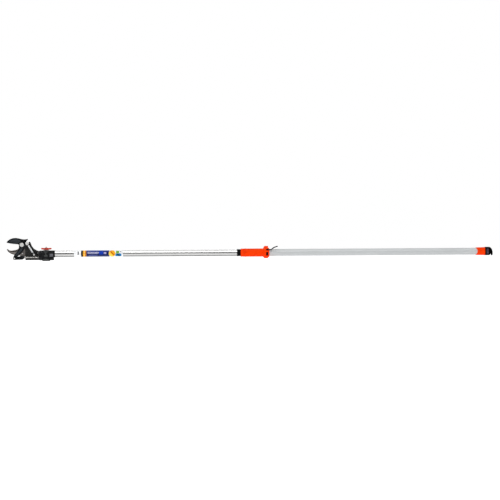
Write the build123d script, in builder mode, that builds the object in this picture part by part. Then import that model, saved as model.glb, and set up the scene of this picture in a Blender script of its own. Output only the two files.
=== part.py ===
from build123d import *
import math
import os

# Telescoping pole pruner, in millimetres.
# +X runs along the pole from the cutting head to the pull knob, +Z points away from the drive
# rod side of the head, and the blade side of the head faces -Y. The origin lies on the pole
# axis at the middle of the hand grip. Everything stands in the extended, jaws-open position.

# ---- pole -------------------------------------------------------------------------------
UPPER_R = 14.4
UPPER_BORE_R = 13.2
LOWER_R = 15.7
LOWER_BORE_R = 14.8
GROOVE_DEPTH = 0.7
GROOVE_WIDTH = 3.0
UPPER_START = -905.3
UPPER_END = 170.0
LOWER_START = -40.0
LOWER_END = 1040.0
LABEL_START = -817.0
LABEL_END = -593.0
LABEL_SKIN = 0.15
LABEL_GAP = 2.2
MOUTH_START = -69.0
MOUTH_BORE_R = 14.75
GRIP_START = -51.8

# ---- drive ------------------------------------------------------------------------------
ROD_R = 4.0
ROD_BORE_R = 2.8
ROD_END = 220.0
DRIVE_TUBE_R = 6.0
DRIVE_TUBE_BORE_R = 4.5
DRIVE_TUBE_START = 95.0
DRIVE_TUBE_END = 1090.0
PULL_ROD_R = 3.6
RUNNING = 0.06
ACROSS = 60.0

# ---- cutting head, measured from the blade pivot ----------------------------------------
PIVOT_X = -1058.0
PIVOT_Z = 42.0
BLADE_FRONT = -3.7
BLADE_BACK = -0.15
HOOK_FRONT = 0.15
HOOK_BACK = 4.15
FRAME_FACE = 0.45
FRAME_BACK = 8.15
LINK_FRONT = -7.7
LINK_BACK = -4.2
LEVER_PIN = (-34.0, -62.6)
ROD_PIN = (6.0, -58.6)
SPRING_TOP = (24.5, 7.5)
SPRING_FOOT = (56.5, -45.5)
SPRING_Y = -5.5
SPRING_R = 4.0
SPRING_BORE_R = 2.6
COIL_START = 11.5
COIL_END = 51.0
PULL_ROD_Z = PIVOT_Z + ROD_PIN[1]

# ---- housing between head and pole ------------------------------------------------------
HOUSING_START = -975.7
HOUSING_END = UPPER_START
HOUSING_R = 15.5
BARREL_X = -946.5
BARREL_TOP = 16.8
FOOT_Z = -33.0
STUD_R = 4.0
STUD_TOP = 32.8
STUD_GROOVE_R = 3.3
STUD_GROOVE_LOW = 28.35
STUD_GROOVE_HIGH = 28.85
STUD_TIP = 0.5
CAVITY_START = -972.0
CAVITY_END = -909.0
CAVITY_HALF = 8.0
CAVITY_TOP = 10.0
CAVITY_BOTTOM = -23.0
SPIGOT_END = -865.0
BOX_WIDTH = 26.0
BOX_DEPTH = 29.6
BOX_LENGTH = 64.0

# ---- grip head with the length lock -----------------------------------------------------
GRIP_R = 18.6
RIVET_X = -30.0
GRIP_RIVET_R = 1.5
RING_R = 28.3
RING_Z = 1.9
RING_START = 56.4
RING_END = 73.6
GRIP_END = 79.0
LEVER_X = 68.5
LEVER_Z = 13.5
LEVER_Y = 18.7
WIRE_R = 2.5
SHOE_START = 56.0
SHOE_END = 62.0
SHOE_X = (SHOE_START + SHOE_END) / 2
SHOE_HALF_Y = 5.0
EAR_HALF_Y = 16.0
HINGE_PIN_R = 1.45
GRIP_FLARE = 50.0
NOSE_R = 21.5
NOSE_FILLET = 3.0

# ---- hand end ---------------------------------------------------------------------------
COLLAR_START = 1027.7
COLLAR_END = 1070.0
COLLAR_PIN_X = 1036.5
COLLAR_PIN_R = 1.5
COLLAR_SKIRT_R = 17.1
COLLAR_BODY_R = 17.8
COLLAR_RING_R = 18.7
KNOB_START = 1070.3
KNOB_R = 20.2
KNOB_TOP = 19.6
KNOB_BOTTOM = -18.6
KNOB_PIN_X = 1079.0
KNOB_PIN_R = 1.5
KNOB_PIN_LENGTH = 34.0

os.makedirs("parts", exist_ok=True)


def save(builder, name):
    """Label a finished piece and write it as its own STEP file."""
    builder.part.label = name
    export_step(builder.part, f"parts/{name}.step")


def side_plane(y):
    """Side view plane at depth y, with +X and +Z as its axes and -Y as its normal."""
    return Plane(origin=(0, y, 0), x_dir=(1, 0, 0), z_dir=(0, -1, 0))


def head_plane(y):
    """Side view plane at depth y with its origin on the blade pivot."""
    return Plane(origin=(PIVOT_X, y, PIVOT_Z), x_dir=(1, 0, 0), z_dir=(0, -1, 0))


def cross_plane(x):
    """Cross-section plane of the pole at x, with +Y and +Z as its axes and +X as its normal."""
    return Plane(origin=(x, 0, 0), x_dir=(0, 1, 0), z_dir=(1, 0, 0))


def turned(corners):
    """Turn a closed outline of (x, radius) corners about the pole axis."""
    with BuildPart() as piece:
        with BuildSketch(Plane.XZ):
            with BuildLine():
                Polyline(*corners, close=True)
            make_face()
        revolve(axis=Axis.X)
    return piece


def pipe(start, end, outer_r, inner_r):
    """Plain tube on the pole axis."""
    return turned([(start, inner_r), (end, inner_r), (end, outer_r), (start, outer_r)])


def headed_pin(plane, shank_r, length, head_r, head_height, dome=0.0):
    """Pin that grows along the plane's normal and ends in a head, with an optional rounded rim."""
    with BuildPart() as piece:
        with BuildSketch(plane):
            Circle(shank_r)
        extrude(amount=length)
        with BuildSketch(plane.offset(length)):
            Circle(head_r)
        extrude(amount=head_height)
        if dome > 0:
            rim = piece.edges().filter_by(GeomType.CIRCLE).sort_by(SortBy.RADIUS)[-2:]
            fillet(rim.sort_by(Axis(plane.origin, plane.z_dir))[-1], dome)
    return piece


def head_pin(place, y_back, shank_r, length, head_r, head_height, dome=0.0):
    """Pin across the head at a pivot-relative place, pointing at the blade side."""
    origin = (PIVOT_X + place[0], y_back, PIVOT_Z + place[1])
    plane = Plane(origin=origin, x_dir=(1, 0, 0), z_dir=(0, -1, 0))
    return headed_pin(plane, shank_r, length, head_r, head_height, dome)


# =========================================================================================
# Cutting head
# =========================================================================================

PIVOT_SHANK_R = 4.0
LEVER_PIN_R = 2.0
ROD_PIN_R = 1.6
SPRING_PIN_R = 2.0
BLADE_LUG_R = 6.5

# One bent plate: cutting edge to the left, lever arm down to the link pin, spur and spring lug
# to the right of the pivot.
with BuildPart() as cutting_blade:
    with BuildSketch(head_plane(BLADE_BACK)):
        with BuildLine():
            Spline((-69, 13.2), (-50, 28.0), (-24.8, 31.6), (-1.8, 26.8), (27, 27.6))
            Line((27, 27.6), (28.2, 22.4))
            Spline((28.2, 22.4), (21.0, 15.5), (18.4, 6.0))
            Line((18.4, 6.0), (18.4, -11.0))
            Spline((18.4, -11.0), (0.9, -34.0), (-27.5, -59.8))
            ThreePointArc((-27.5, -59.8), (-34, -69.6), (-40.4, -59.8))
            Spline((-40.4, -59.8), (-34, -45.5), (-18.5, -26.0), (-13.3, -14.7))
            Line((-13.3, -14.7), (-13.3, -3.2))
            ThreePointArc((-13.3, -3.2), (-14.6, 0.6), (-18.0, 2.8))
            Spline((-18.0, 2.8), (-44.0, 5.0), (-69, 10.0))
            Line((-69, 10.0), (-69, 13.2))
        make_face()
        with BuildSketch(mode=Mode.ADD):
            with Locations(SPRING_TOP, (8.0, 6.0)):
                Circle(BLADE_LUG_R)
            make_hull()
        Circle(PIVOT_SHANK_R + RUNNING, mode=Mode.SUBTRACT)
        with Locations(LEVER_PIN):
            Circle(LEVER_PIN_R + RUNNING, mode=Mode.SUBTRACT)
        with Locations(SPRING_TOP):
            Circle(SPRING_PIN_R, mode=Mode.SUBTRACT)
    extrude(amount=BLADE_BACK - BLADE_FRONT)
save(cutting_blade, "cutting_blade")

blade_spring_pin = head_pin(SPRING_TOP, BLADE_BACK, SPRING_PIN_R, 6.6, 5.0, 2.0, dome=0.8)
save(blade_spring_pin, "blade_spring_pin")

# Hooked counter-blade: crescent, base and pivot eye in one plate.
RIVET_R = 2.2
RIVET_SPOTS = [(2.8, -40.0), (5.0, -22.0)]
with BuildPart() as hook_blade:
    with BuildSketch(head_plane(HOOK_BACK)):
        with BuildLine():
            Line((-66.2, -17.6), (-69.0, -21.5))
            Spline((-69.0, -21.5), (-60.0, -34.5), (-40.0, -44.3), (-10.0, -49.0))
            Line((-10.0, -49.0), (-7.0, -53.8))
            Line((-7.0, -53.8), (15.6, -54.2))
            Line((15.6, -54.2), (15.6, -8.0))
            ThreePointArc((15.6, -8.0), (0, 12.5), (-12.0, -3.5))
            Line((-12.0, -3.5), (-13.0, -13.0))
            Spline((-13.0, -13.0), (-20.0, -20.0), (-35.4, -24.4), (-55.0, -25.4), (-66.2, -17.6))
        make_face()
        Circle(PIVOT_SHANK_R, mode=Mode.SUBTRACT)
        with Locations(*RIVET_SPOTS):
            Circle(RIVET_R, mode=Mode.SUBTRACT)
    extrude(amount=HOOK_BACK - HOOK_FRONT)
save(hook_blade, "hook_blade")

# Pivot bolt: slotted round head in front of the blade, hexagon nut behind the hook plate.
BOLT_HEAD_R = 9.6
BOLT_HEAD_T = 4.0
NUT_FLATS_R = 6.5
NUT_T = 5.5
BOLT_BACK = HOOK_BACK + NUT_T + 1.2
pivot_length = BOLT_BACK - BLADE_FRONT + 0.1
plain_bolt = head_pin((0, 0), BOLT_BACK, PIVOT_SHANK_R, pivot_length, BOLT_HEAD_R, BOLT_HEAD_T, dome=1.6)
with BuildPart() as pivot_bolt:
    add(plain_bolt.part)
    with BuildSketch(head_plane(BLADE_FRONT - BOLT_HEAD_T - 0.1)):
        Rectangle(2 * BOLT_HEAD_R, 1.8, rotation=35)
    extrude(amount=-1.4, mode=Mode.SUBTRACT)
save(pivot_bolt, "pivot_bolt")

with BuildPart() as pivot_nut:
    with BuildSketch(head_plane(HOOK_BACK + NUT_T)):
        RegularPolygon(NUT_FLATS_R, 6, major_radius=False)
        Circle(PIVOT_SHANK_R, mode=Mode.SUBTRACT)
    extrude(amount=NUT_T)
save(pivot_nut, "pivot_nut")

# Cast frame: plate behind the blade, a flange behind the hook base, a wall and a rib beside
# the spring, the open channel of the pull rod, and the end flange against the housing.
CHANNEL_TOP = -54.4
CHANNEL_FLOOR = -62.8
FRAME_BOTTOM = -70.3
CHANNEL_BACK = 4.3
WALL_FRONT = -8.0
RIB_FRONT = -3.6
FLANGE_START = -981.0
FLANGE_R = 13.5
FLANGE_DEPTH = 28.2
FRAME_RIGHT = HOUSING_START - PIVOT_X
BOLT_SPOTS = [(-10.9, 4.5), (10.9, 4.5), (-10.9, -20.0), (10.9, -20.0)]
FRAME_BOLT_R = 1.5
BOLT_HEX_R = 2.2
BOLT_HEX_T = 2.4
with BuildPart() as head_frame:
    with BuildSketch(head_plane(FRAME_BACK)):
        with BuildLine():
            Polyline(
                (15.9, FRAME_BOTTOM), (15.9, -6.0), (18.5, -1.0), (29.0, 0.5), (35.0, 14.5), (38.6, 11.5),
                (46.0, -7.0), (56.0, -19.0), (68.0, -25.5), (FRAME_RIGHT, -31.0),
                (FRAME_RIGHT, FRAME_BOTTOM),
                close=True,
            )
        make_face()
    extrude(amount=FRAME_BACK - FRAME_FACE)
    with BuildSketch(head_plane(FRAME_BACK)):
        with BuildLine():
            Polyline((16.5, -48.0), (16.5, -14.0), (-3.0, -15.0), (-8.0, -30.0), (-6.0, -47.0), close=True)
        make_face()
    extrude(amount=FRAME_BACK - HOOK_BACK)
    with BuildSketch(head_plane(FRAME_FACE + 0.2)):
        with BuildLine():
            Polyline(
                (32.2, 11.2), (35.0, 14.5), (38.6, 11.5), (46.0, -7.0), (56.0, -19.0), (68.0, -25.5),
                (FRAME_RIGHT, -31.0), (FRAME_RIGHT, -37.0), (66.0, -31.5), (53.0, -25.0), (44.0, -13.0),
                close=True,
            )
        make_face()
    extrude(amount=FRAME_FACE + 0.2 - WALL_FRONT)
    with BuildSketch(head_plane(FRAME_FACE + 0.2)):
        with BuildLine():
            Polyline((26.4, -4.5), (28.0, -8.0), (45.5, -39.5), (45.5, -50.5), (42.5, -50.5), (24.5, -10.0),
                     close=True)
        make_face()
        with BuildLine():
            Polyline((27.0, -50.0), (FRAME_RIGHT, -50.0), (FRAME_RIGHT, CHANNEL_TOP), (27.0, CHANNEL_TOP),
                     close=True)
        make_face()
        with BuildLine():
            Polyline((27.0, CHANNEL_FLOOR), (FRAME_RIGHT, CHANNEL_FLOOR), (FRAME_RIGHT, FRAME_BOTTOM),
                     (27.0, FRAME_BOTTOM), close=True)
        make_face()
    extrude(amount=FRAME_FACE + 0.2 - RIB_FRONT)
    with BuildSketch(cross_plane(FLANGE_START)):
        Circle(FLANGE_R)
        with Locations((0, -FLANGE_DEPTH / 2)):
            Rectangle(BOX_WIDTH, FLANGE_DEPTH)
    extrude(amount=HOUSING_START - FLANGE_START)
    with BuildSketch(head_plane(CHANNEL_BACK)):
        with Locations(((15.0 + FRAME_RIGHT) / 2, (CHANNEL_TOP + CHANNEL_FLOOR) / 2)):
            Rectangle(FRAME_RIGHT - 15.0 + 2, CHANNEL_TOP - CHANNEL_FLOOR)
    extrude(amount=CHANNEL_BACK - WALL_FRONT + 8, mode=Mode.SUBTRACT)
    with BuildSketch(head_plane(FRAME_BACK)):
        with Locations(*RIVET_SPOTS):
            Circle(RIVET_R)
        with Locations(SPRING_FOOT):
            Circle(SPRING_PIN_R)
    extrude(amount=FRAME_BACK - FRAME_FACE + 1, mode=Mode.SUBTRACT)
    with BuildSketch(cross_plane(FLANGE_START)):
        with Locations(*BOLT_SPOTS):
            Circle(FRAME_BOLT_R)
    extrude(amount=HOUSING_START - FLANGE_START, mode=Mode.SUBTRACT)
save(head_frame, "head_frame")

with BuildPart() as hook_rivets:
    with BuildSketch(head_plane(FRAME_BACK)):
        with Locations(*RIVET_SPOTS):
            Circle(RIVET_R)
    extrude(amount=FRAME_BACK - HOOK_FRONT)
    with BuildSketch(head_plane(FRAME_BACK + 1.6)):
        with Locations(*RIVET_SPOTS):
            Circle(4.0)
    extrude(amount=1.6)
save(hook_rivets, "hook_rivets")

spring_anchor_pin = head_pin(SPRING_FOOT, FRAME_BACK, SPRING_PIN_R, FRAME_BACK + 8.0, 3.2, 1.5, dome=0.5)
save(spring_anchor_pin, "spring_anchor_pin")

# Link between lever arm and pull rod. The hole at the rod end is slotted, because the rod pin
# rises inside it while the lever arm swings through its lowest point.
LINK_LEVER_END_R = 6.4
LINK_ROD_END_R = 6.7
LINK_BELLY_R = 5.0
SLOT_R = 2.3
SLOT_RISE = 4.1
SLOT_REACH = 1.2
with BuildPart() as drive_link:
    with BuildSketch(head_plane(LINK_BACK)):
        with Locations(LEVER_PIN):
            Circle(LINK_LEVER_END_R)
        with Locations((ROD_PIN[0] + 0.4, ROD_PIN[1] + 1.6)):
            Circle(LINK_ROD_END_R)
        with Locations((ROD_PIN[0] - 3.0, ROD_PIN[1] - 4.4)):
            Circle(LINK_BELLY_R)
        make_hull()
        with Locations(LEVER_PIN):
            Circle(LEVER_PIN_R, mode=Mode.SUBTRACT)
        with BuildSketch(mode=Mode.SUBTRACT):
            with Locations(ROD_PIN, (ROD_PIN[0] + SLOT_REACH, ROD_PIN[1] + SLOT_RISE)):
                Circle(SLOT_R)
            make_hull()
    extrude(amount=LINK_BACK - LINK_FRONT)
save(drive_link, "drive_link")

link_pin = head_pin(LEVER_PIN, BLADE_BACK - 0.05, LEVER_PIN_R, 7.55, 3.6, 1.6, dome=0.6)
save(link_pin, "link_pin")

# Pull rod with its cross pin.
BLOCK_START = -970.0
BLOCK_END = -958.0
BLOCK_Z = -6.6
BLOCK_WIDTH = 14.8
BLOCK_HEIGHT = 31.4
BLOCK_FILLET = 2.0
rod_left = PIVOT_X + ROD_PIN[0] - 4.2
with BuildPart() as pull_rod:
    rod_plane = Plane(origin=(rod_left, 0, PULL_ROD_Z), x_dir=(0, 1, 0), z_dir=(1, 0, 0))
    with BuildSketch(rod_plane):
        Circle(PULL_ROD_R)
    extrude(amount=BLOCK_END - rod_left)
    with BuildSketch(head_plane(PULL_ROD_R)):
        with Locations(ROD_PIN):
            Circle(ROD_PIN_R)
    extrude(amount=2 * PULL_ROD_R, mode=Mode.SUBTRACT)
save(pull_rod, "pull_rod")

rod_pin = head_pin(ROD_PIN, 3.0, ROD_PIN_R, 11.0, 6.6, 1.5, dome=0.5)
save(rod_pin, "rod_pin")

# =========================================================================================
# Return spring
# =========================================================================================

spring_dx = SPRING_FOOT[0] - SPRING_TOP[0]
spring_dz = SPRING_FOOT[1] - SPRING_TOP[1]
SPRING_LENGTH = math.hypot(spring_dx, spring_dz)
SPRING_DIRECTION = (spring_dx / SPRING_LENGTH, 0, spring_dz / SPRING_LENGTH)


def spring_plane(reach):
    """Plane across the return spring, at a distance from its upper pin."""
    place = (
        PIVOT_X + SPRING_TOP[0] + SPRING_DIRECTION[0] * reach,
        SPRING_Y,
        PIVOT_Z + SPRING_TOP[1] + SPRING_DIRECTION[2] * reach,
    )
    return Plane(origin=place, x_dir=(0, 1, 0), z_dir=SPRING_DIRECTION)


EYELET_T = 2.0
NECK_R = 1.0
LOOP_R = 3.6
with BuildPart() as spring_eyelet:
    with BuildSketch(head_plane(SPRING_Y + EYELET_T / 2)):
        with Locations(SPRING_TOP):
            Circle(7.0)
        tail = (SPRING_TOP[0] + SPRING_DIRECTION[0] * 8.6, SPRING_TOP[1] + SPRING_DIRECTION[2] * 8.6)
        with Locations(tail):
            Circle(2.4)
        make_hull()
        with Locations(SPRING_TOP):
            Circle(4.0, mode=Mode.SUBTRACT)
    extrude(amount=EYELET_T)
save(spring_eyelet, "spring_eyelet")

with BuildPart() as return_spring:
    with BuildSketch(spring_plane(COIL_START)):
        Circle(SPRING_R)
        Circle(SPRING_BORE_R, mode=Mode.SUBTRACT)
    extrude(amount=COIL_END - COIL_START)
    with BuildSketch(spring_plane(COIL_END - 1.0)):
        Circle(SPRING_R - 0.5)
    extrude(amount=1.0)
    with BuildSketch(spring_plane(COIL_END - 0.5)):
        Circle(NECK_R)
    extrude(amount=SPRING_LENGTH - COIL_END - LOOP_R + 1.4)
    with BuildSketch(head_plane(SPRING_Y + NECK_R)):
        with Locations(SPRING_FOOT):
            Circle(LOOP_R)
            Circle(SPRING_PIN_R + 0.05, mode=Mode.SUBTRACT)
    extrude(amount=2 * NECK_R)
save(return_spring, "return_spring")

# =========================================================================================
# Housing, accessory clamp and drive block
# =========================================================================================

SCREW_R = 1.2
SCREW_HEAD_R = 2.4
UPPER_SCREWS = [(-968.0, 12.7), (-918.0, 12.7)]
LOWER_SCREWS = [(-968.0, -25.3), (-918.0, -25.3)]
UPPER_HEAD_Y = 7.5
LOWER_HEAD_Y = 10.8
STUD_HEAD_HALF = 7.0
STUD_HEAD_LOW = 10.5
STUD_HEAD_TOP = 13.5
GUIDE_R = 6.0
GUIDE_START = -905.0
GUIDE_END = -888.0
STUD_X = -945.5
HOUSING_RIM = 6.0
BOLT_DEPTH = 12.0
SCREW_END_Y = 9.0
SCREW_HEAD_T = 1.3
LOWER_HEAD_T = 1.6

with BuildPart() as housing_body:
    with BuildSketch(cross_plane(HOUSING_START)):
        Circle(HOUSING_R)
    extrude(amount=HOUSING_END - HOUSING_START - HOUSING_RIM)
    with BuildSketch(cross_plane(HOUSING_END - HOUSING_RIM)):
        Circle(HOUSING_R - 0.6)
    extrude(amount=HOUSING_RIM)
    with BuildSketch(cross_plane(HOUSING_START)):
        with Locations((0, -BOX_DEPTH / 2)):
            RectangleRounded(BOX_WIDTH, BOX_DEPTH, 3)
    extrude(amount=BOX_LENGTH)
    with BuildSketch(Plane.XZ):
        with BuildLine():
            barrel = [(0, BARREL_TOP), (13.6, BARREL_TOP), (15.4, BARREL_TOP - 2), (15.4, -12), (19.6, -25),
                      (19.6, -29), (16.5, FOOT_Z), (0, FOOT_Z)]
            Polyline(*[(BARREL_X + r, z) for r, z in barrel], close=True)
        make_face()
    revolve(axis=Axis((BARREL_X, 0, 0), (0, 0, 1)))
    with BuildSketch(cross_plane(HOUSING_END)):
        Circle(UPPER_BORE_R - 0.3)
    extrude(amount=SPIGOT_END - HOUSING_END)
    cavity_x = (CAVITY_START + CAVITY_END) / 2
    cavity_z = (CAVITY_TOP + CAVITY_BOTTOM) / 2
    with Locations((cavity_x, 0, cavity_z)):
        Box(CAVITY_END - CAVITY_START, 2 * CAVITY_HALF, CAVITY_TOP - CAVITY_BOTTOM, mode=Mode.SUBTRACT)
    with BuildSketch(cross_plane(CAVITY_END)):
        Circle(ROD_R + 0.3)
    extrude(amount=SPIGOT_END - CAVITY_END, mode=Mode.SUBTRACT)
    with BuildSketch(cross_plane(GUIDE_START)):
        Circle(GUIDE_R)
    extrude(amount=GUIDE_END - GUIDE_START, mode=Mode.SUBTRACT)
    with BuildSketch(cross_plane(HOUSING_START)):
        with Locations((0, PULL_ROD_Z)):
            Circle(PULL_ROD_R + 0.4)
    extrude(amount=CAVITY_START - HOUSING_START, mode=Mode.SUBTRACT)
    with BuildSketch(cross_plane(HOUSING_START)):
        with Locations(*BOLT_SPOTS):
            Circle(FRAME_BOLT_R)
    extrude(amount=BOLT_DEPTH, mode=Mode.SUBTRACT)
    with BuildSketch(Plane.XY.offset(STUD_HEAD_LOW)):
        with Locations((STUD_X, 0)):
            Rectangle(2 * STUD_HEAD_HALF, 2 * STUD_HEAD_HALF)
    extrude(amount=STUD_HEAD_TOP - STUD_HEAD_LOW, mode=Mode.SUBTRACT)
    with BuildSketch(Plane.XY.offset(STUD_HEAD_TOP)):
        with Locations((STUD_X, 0)):
            Circle(STUD_R)
    extrude(amount=STUD_TOP - STUD_HEAD_TOP, mode=Mode.SUBTRACT)
    with BuildSketch(side_plane(SCREW_END_Y)):
        with Locations(*UPPER_SCREWS, *LOWER_SCREWS):
            Circle(SCREW_R)
    extrude(amount=ACROSS, mode=Mode.SUBTRACT)
    with BuildSketch(side_plane(-UPPER_HEAD_Y)):
        with Locations(*UPPER_SCREWS):
            Circle(SCREW_HEAD_R + 0.2)
    extrude(amount=ACROSS, mode=Mode.SUBTRACT)
    with BuildSketch(side_plane(-LOWER_HEAD_Y)):
        with Locations(*LOWER_SCREWS):
            Circle(SCREW_HEAD_R + 0.2)
    extrude(amount=ACROSS, mode=Mode.SUBTRACT)

with BuildPart() as housing_front:
    add(housing_body.part)
    split(bisect_by=Plane.XZ, keep=Keep.TOP)
save(housing_front, "housing_front")

with BuildPart() as housing_rear:
    add(housing_body.part)
    split(bisect_by=Plane.XZ, keep=Keep.BOTTOM)
save(housing_rear, "housing_rear")

with BuildPart() as housing_screws:
    with BuildSketch(side_plane(SCREW_END_Y)):
        with Locations(*UPPER_SCREWS):
            Circle(SCREW_R)
    extrude(amount=SCREW_END_Y + UPPER_HEAD_Y)
    with BuildSketch(side_plane(SCREW_END_Y)):
        with Locations(*LOWER_SCREWS):
            Circle(SCREW_R)
    extrude(amount=SCREW_END_Y + LOWER_HEAD_Y)
    with BuildSketch(side_plane(-UPPER_HEAD_Y)):
        with Locations(*UPPER_SCREWS):
            Circle(SCREW_HEAD_R)
    extrude(amount=SCREW_HEAD_T)
    with BuildSketch(side_plane(-LOWER_HEAD_Y)):
        with Locations(*LOWER_SCREWS):
            Circle(SCREW_HEAD_R)
    extrude(amount=LOWER_HEAD_T)
save(housing_screws, "housing_screws")

with BuildPart() as frame_bolts:
    with BuildSketch(cross_plane(FLANGE_START)):
        with Locations(*BOLT_SPOTS):
            Circle(FRAME_BOLT_R)
    extrude(amount=HOUSING_START - FLANGE_START + BOLT_DEPTH - 1)
    with BuildSketch(cross_plane(FLANGE_START)):
        with Locations(*BOLT_SPOTS):
            RegularPolygon(BOLT_HEX_R, 6, major_radius=False)
    extrude(amount=-BOLT_HEX_T)
save(frame_bolts, "frame_bolts")

with BuildPart() as accessory_stud:
    with BuildSketch(Plane.XY.offset(STUD_HEAD_LOW)):
        with Locations((STUD_X, 0)):
            Rectangle(2 * STUD_HEAD_HALF - 0.2, 2 * STUD_HEAD_HALF - 0.2)
    extrude(amount=STUD_HEAD_TOP - STUD_HEAD_LOW)
    with BuildSketch(Plane.XY.offset(STUD_HEAD_TOP)):
        with Locations((STUD_X, 0)):
            Circle(STUD_R)
    extrude(amount=STUD_TOP - STUD_HEAD_TOP)
    chamfer(accessory_stud.edges().filter_by(GeomType.CIRCLE).group_by(Axis.Z)[-1], STUD_TIP)
    # groove that keeps the wing nut from coming right off
    with BuildSketch(Plane.XY.offset(STUD_GROOVE_LOW)):
        with Locations((STUD_X, 0)):
            Circle(STUD_R + 1)
            Circle(STUD_GROOVE_R, mode=Mode.SUBTRACT)
    extrude(amount=STUD_GROOVE_HIGH - STUD_GROOVE_LOW, mode=Mode.SUBTRACT)
save(accessory_stud, "accessory_stud")

WASHER_T = 1.2
WASHER_R = 9.5
with BuildPart() as clamp_washer:
    with BuildSketch(Plane.XY.offset(BARREL_TOP)):
        with Locations((STUD_X, 0)):
            Circle(WASHER_R)
            Circle(STUD_R + 0.3, mode=Mode.SUBTRACT)
    extrude(amount=WASHER_T)
save(clamp_washer, "clamp_washer")

# Wing nut: hub with two rising wings, moulded round a metal insert.
NUT_LOW = BARREL_TOP + WASHER_T + 0.1
NUT_TOP = 27.4
HUB_R = 9.0
WING_LOW = 21.8
WING_TIP_LOW = 22.2
INSERT_R = 6.2
INSERT_TOP = 28.3
WING_REACH = 24.0
WING_HALF = 2.6
WING_TURN = 14
wing_cos = math.cos(math.radians(WING_TURN))
wing_sin = math.sin(math.radians(WING_TURN))
nut_plane = Plane(origin=(STUD_X, 0, 0), x_dir=(wing_cos, wing_sin, 0), z_dir=(wing_sin, -wing_cos, 0))
with BuildPart() as wing_nut:
    with BuildSketch(nut_plane.offset(-WING_HALF)):
        with BuildLine():
            Polyline(
                (1 - HUB_R, NUT_LOW), (HUB_R - 1, NUT_LOW), (WING_REACH - 5, WING_LOW),
                (WING_REACH, WING_TIP_LOW), (WING_REACH, NUT_TOP), (-WING_REACH, NUT_TOP),
                (-WING_REACH, WING_TIP_LOW), (5 - WING_REACH, WING_LOW), close=True,
            )
        make_face()
    extrude(amount=2 * WING_HALF)
    with BuildSketch(Plane.XY.offset(NUT_LOW)):
        with Locations((STUD_X, 0)):
            Circle(HUB_R)
    extrude(amount=NUT_TOP - NUT_LOW)
    with BuildSketch(Plane.XY.offset(NUT_LOW)):
        with Locations((STUD_X, 0)):
            Circle(INSERT_R)
    extrude(amount=NUT_TOP - NUT_LOW + 1, mode=Mode.SUBTRACT)
save(wing_nut, "wing_nut")

with BuildPart() as wing_nut_insert:
    with BuildSketch(Plane.XY.offset(NUT_LOW)):
        with Locations((STUD_X, 0)):
            Circle(INSERT_R)
            Circle(STUD_R + RUNNING, mode=Mode.SUBTRACT)
    extrude(amount=INSERT_TOP - NUT_LOW)
save(wing_nut_insert, "wing_nut_insert")

with BuildPart() as drive_block:
    with Locations(((BLOCK_START + BLOCK_END) / 2, 0, BLOCK_Z)):
        Box(BLOCK_END - BLOCK_START, BLOCK_WIDTH, BLOCK_HEIGHT)
    fillet(drive_block.edges().filter_by(Axis.X), BLOCK_FILLET)
    with BuildSketch(cross_plane(BLOCK_START)):
        Circle(ROD_R)
        with Locations((0, PULL_ROD_Z)):
            Circle(PULL_ROD_R)
    extrude(amount=BLOCK_END - BLOCK_START, mode=Mode.SUBTRACT)
save(drive_block, "drive_block")

save(pipe(BLOCK_START, ROD_END, ROD_R, ROD_BORE_R), "drive_rod")
save(pipe(GUIDE_START, GUIDE_END, GUIDE_R, ROD_R + RUNNING), "rod_guide_bush")

# =========================================================================================
# Upper pole
# =========================================================================================

with BuildPart() as upper_pole_tube:
    with BuildSketch(cross_plane(UPPER_START)):
        Circle(UPPER_R)
        Circle(UPPER_BORE_R, mode=Mode.SUBTRACT)
        with Locations((UPPER_R, 0), (-UPPER_R, 0)):
            Rectangle(2 * GROOVE_DEPTH, GROOVE_WIDTH, mode=Mode.SUBTRACT)
    extrude(amount=UPPER_END - UPPER_START)
save(upper_pole_tube, "upper_pole_tube")

with BuildPart() as label_sleeve:
    with BuildSketch(cross_plane(LABEL_START)):
        Circle(UPPER_R + LABEL_SKIN)
        Circle(UPPER_R, mode=Mode.SUBTRACT)
        Rectangle(4 * UPPER_R, 2 * LABEL_GAP, mode=Mode.SUBTRACT)
    extrude(amount=LABEL_END - LABEL_START)
save(label_sleeve, "label_sleeve")

FOOT_SPIGOT = 16.0
FOOT_FLANGE = 6.0
foot_bush = turned([
    (UPPER_END - FOOT_SPIGOT, DRIVE_TUBE_R + 0.1),
    (UPPER_END + FOOT_FLANGE, DRIVE_TUBE_R + 0.1),
    (UPPER_END + FOOT_FLANGE, LOWER_BORE_R - 0.2),
    (UPPER_END, LOWER_BORE_R - 0.2),
    (UPPER_END, UPPER_BORE_R),
    (UPPER_END - FOOT_SPIGOT, UPPER_BORE_R),
])
save(foot_bush, "foot_bush")

# =========================================================================================
# Lower pole, mouth bush and grip
# =========================================================================================

with BuildPart() as lower_pole_tube:
    with BuildSketch(cross_plane(LOWER_START)):
        Circle(LOWER_R)
        Circle(LOWER_BORE_R, mode=Mode.SUBTRACT)
    extrude(amount=LOWER_END - LOWER_START)
    with BuildSketch(Plane.XY.offset(10)):
        with Locations((SHOE_X, 0)):
            Rectangle(SHOE_END - SHOE_START + 1.0, 2 * SHOE_HALF_Y + 1.0)
    extrude(amount=LOWER_R, mode=Mode.SUBTRACT)
    with BuildSketch(Plane.XY.offset(-ACROSS / 2)):
        with Locations((COLLAR_PIN_X, 0)):
            Circle(COLLAR_PIN_R)
        with Locations((RIVET_X, 0)):
            Circle(GRIP_RIVET_R)
    extrude(amount=ACROSS, mode=Mode.SUBTRACT)
save(lower_pole_tube, "lower_pole_tube")

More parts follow.
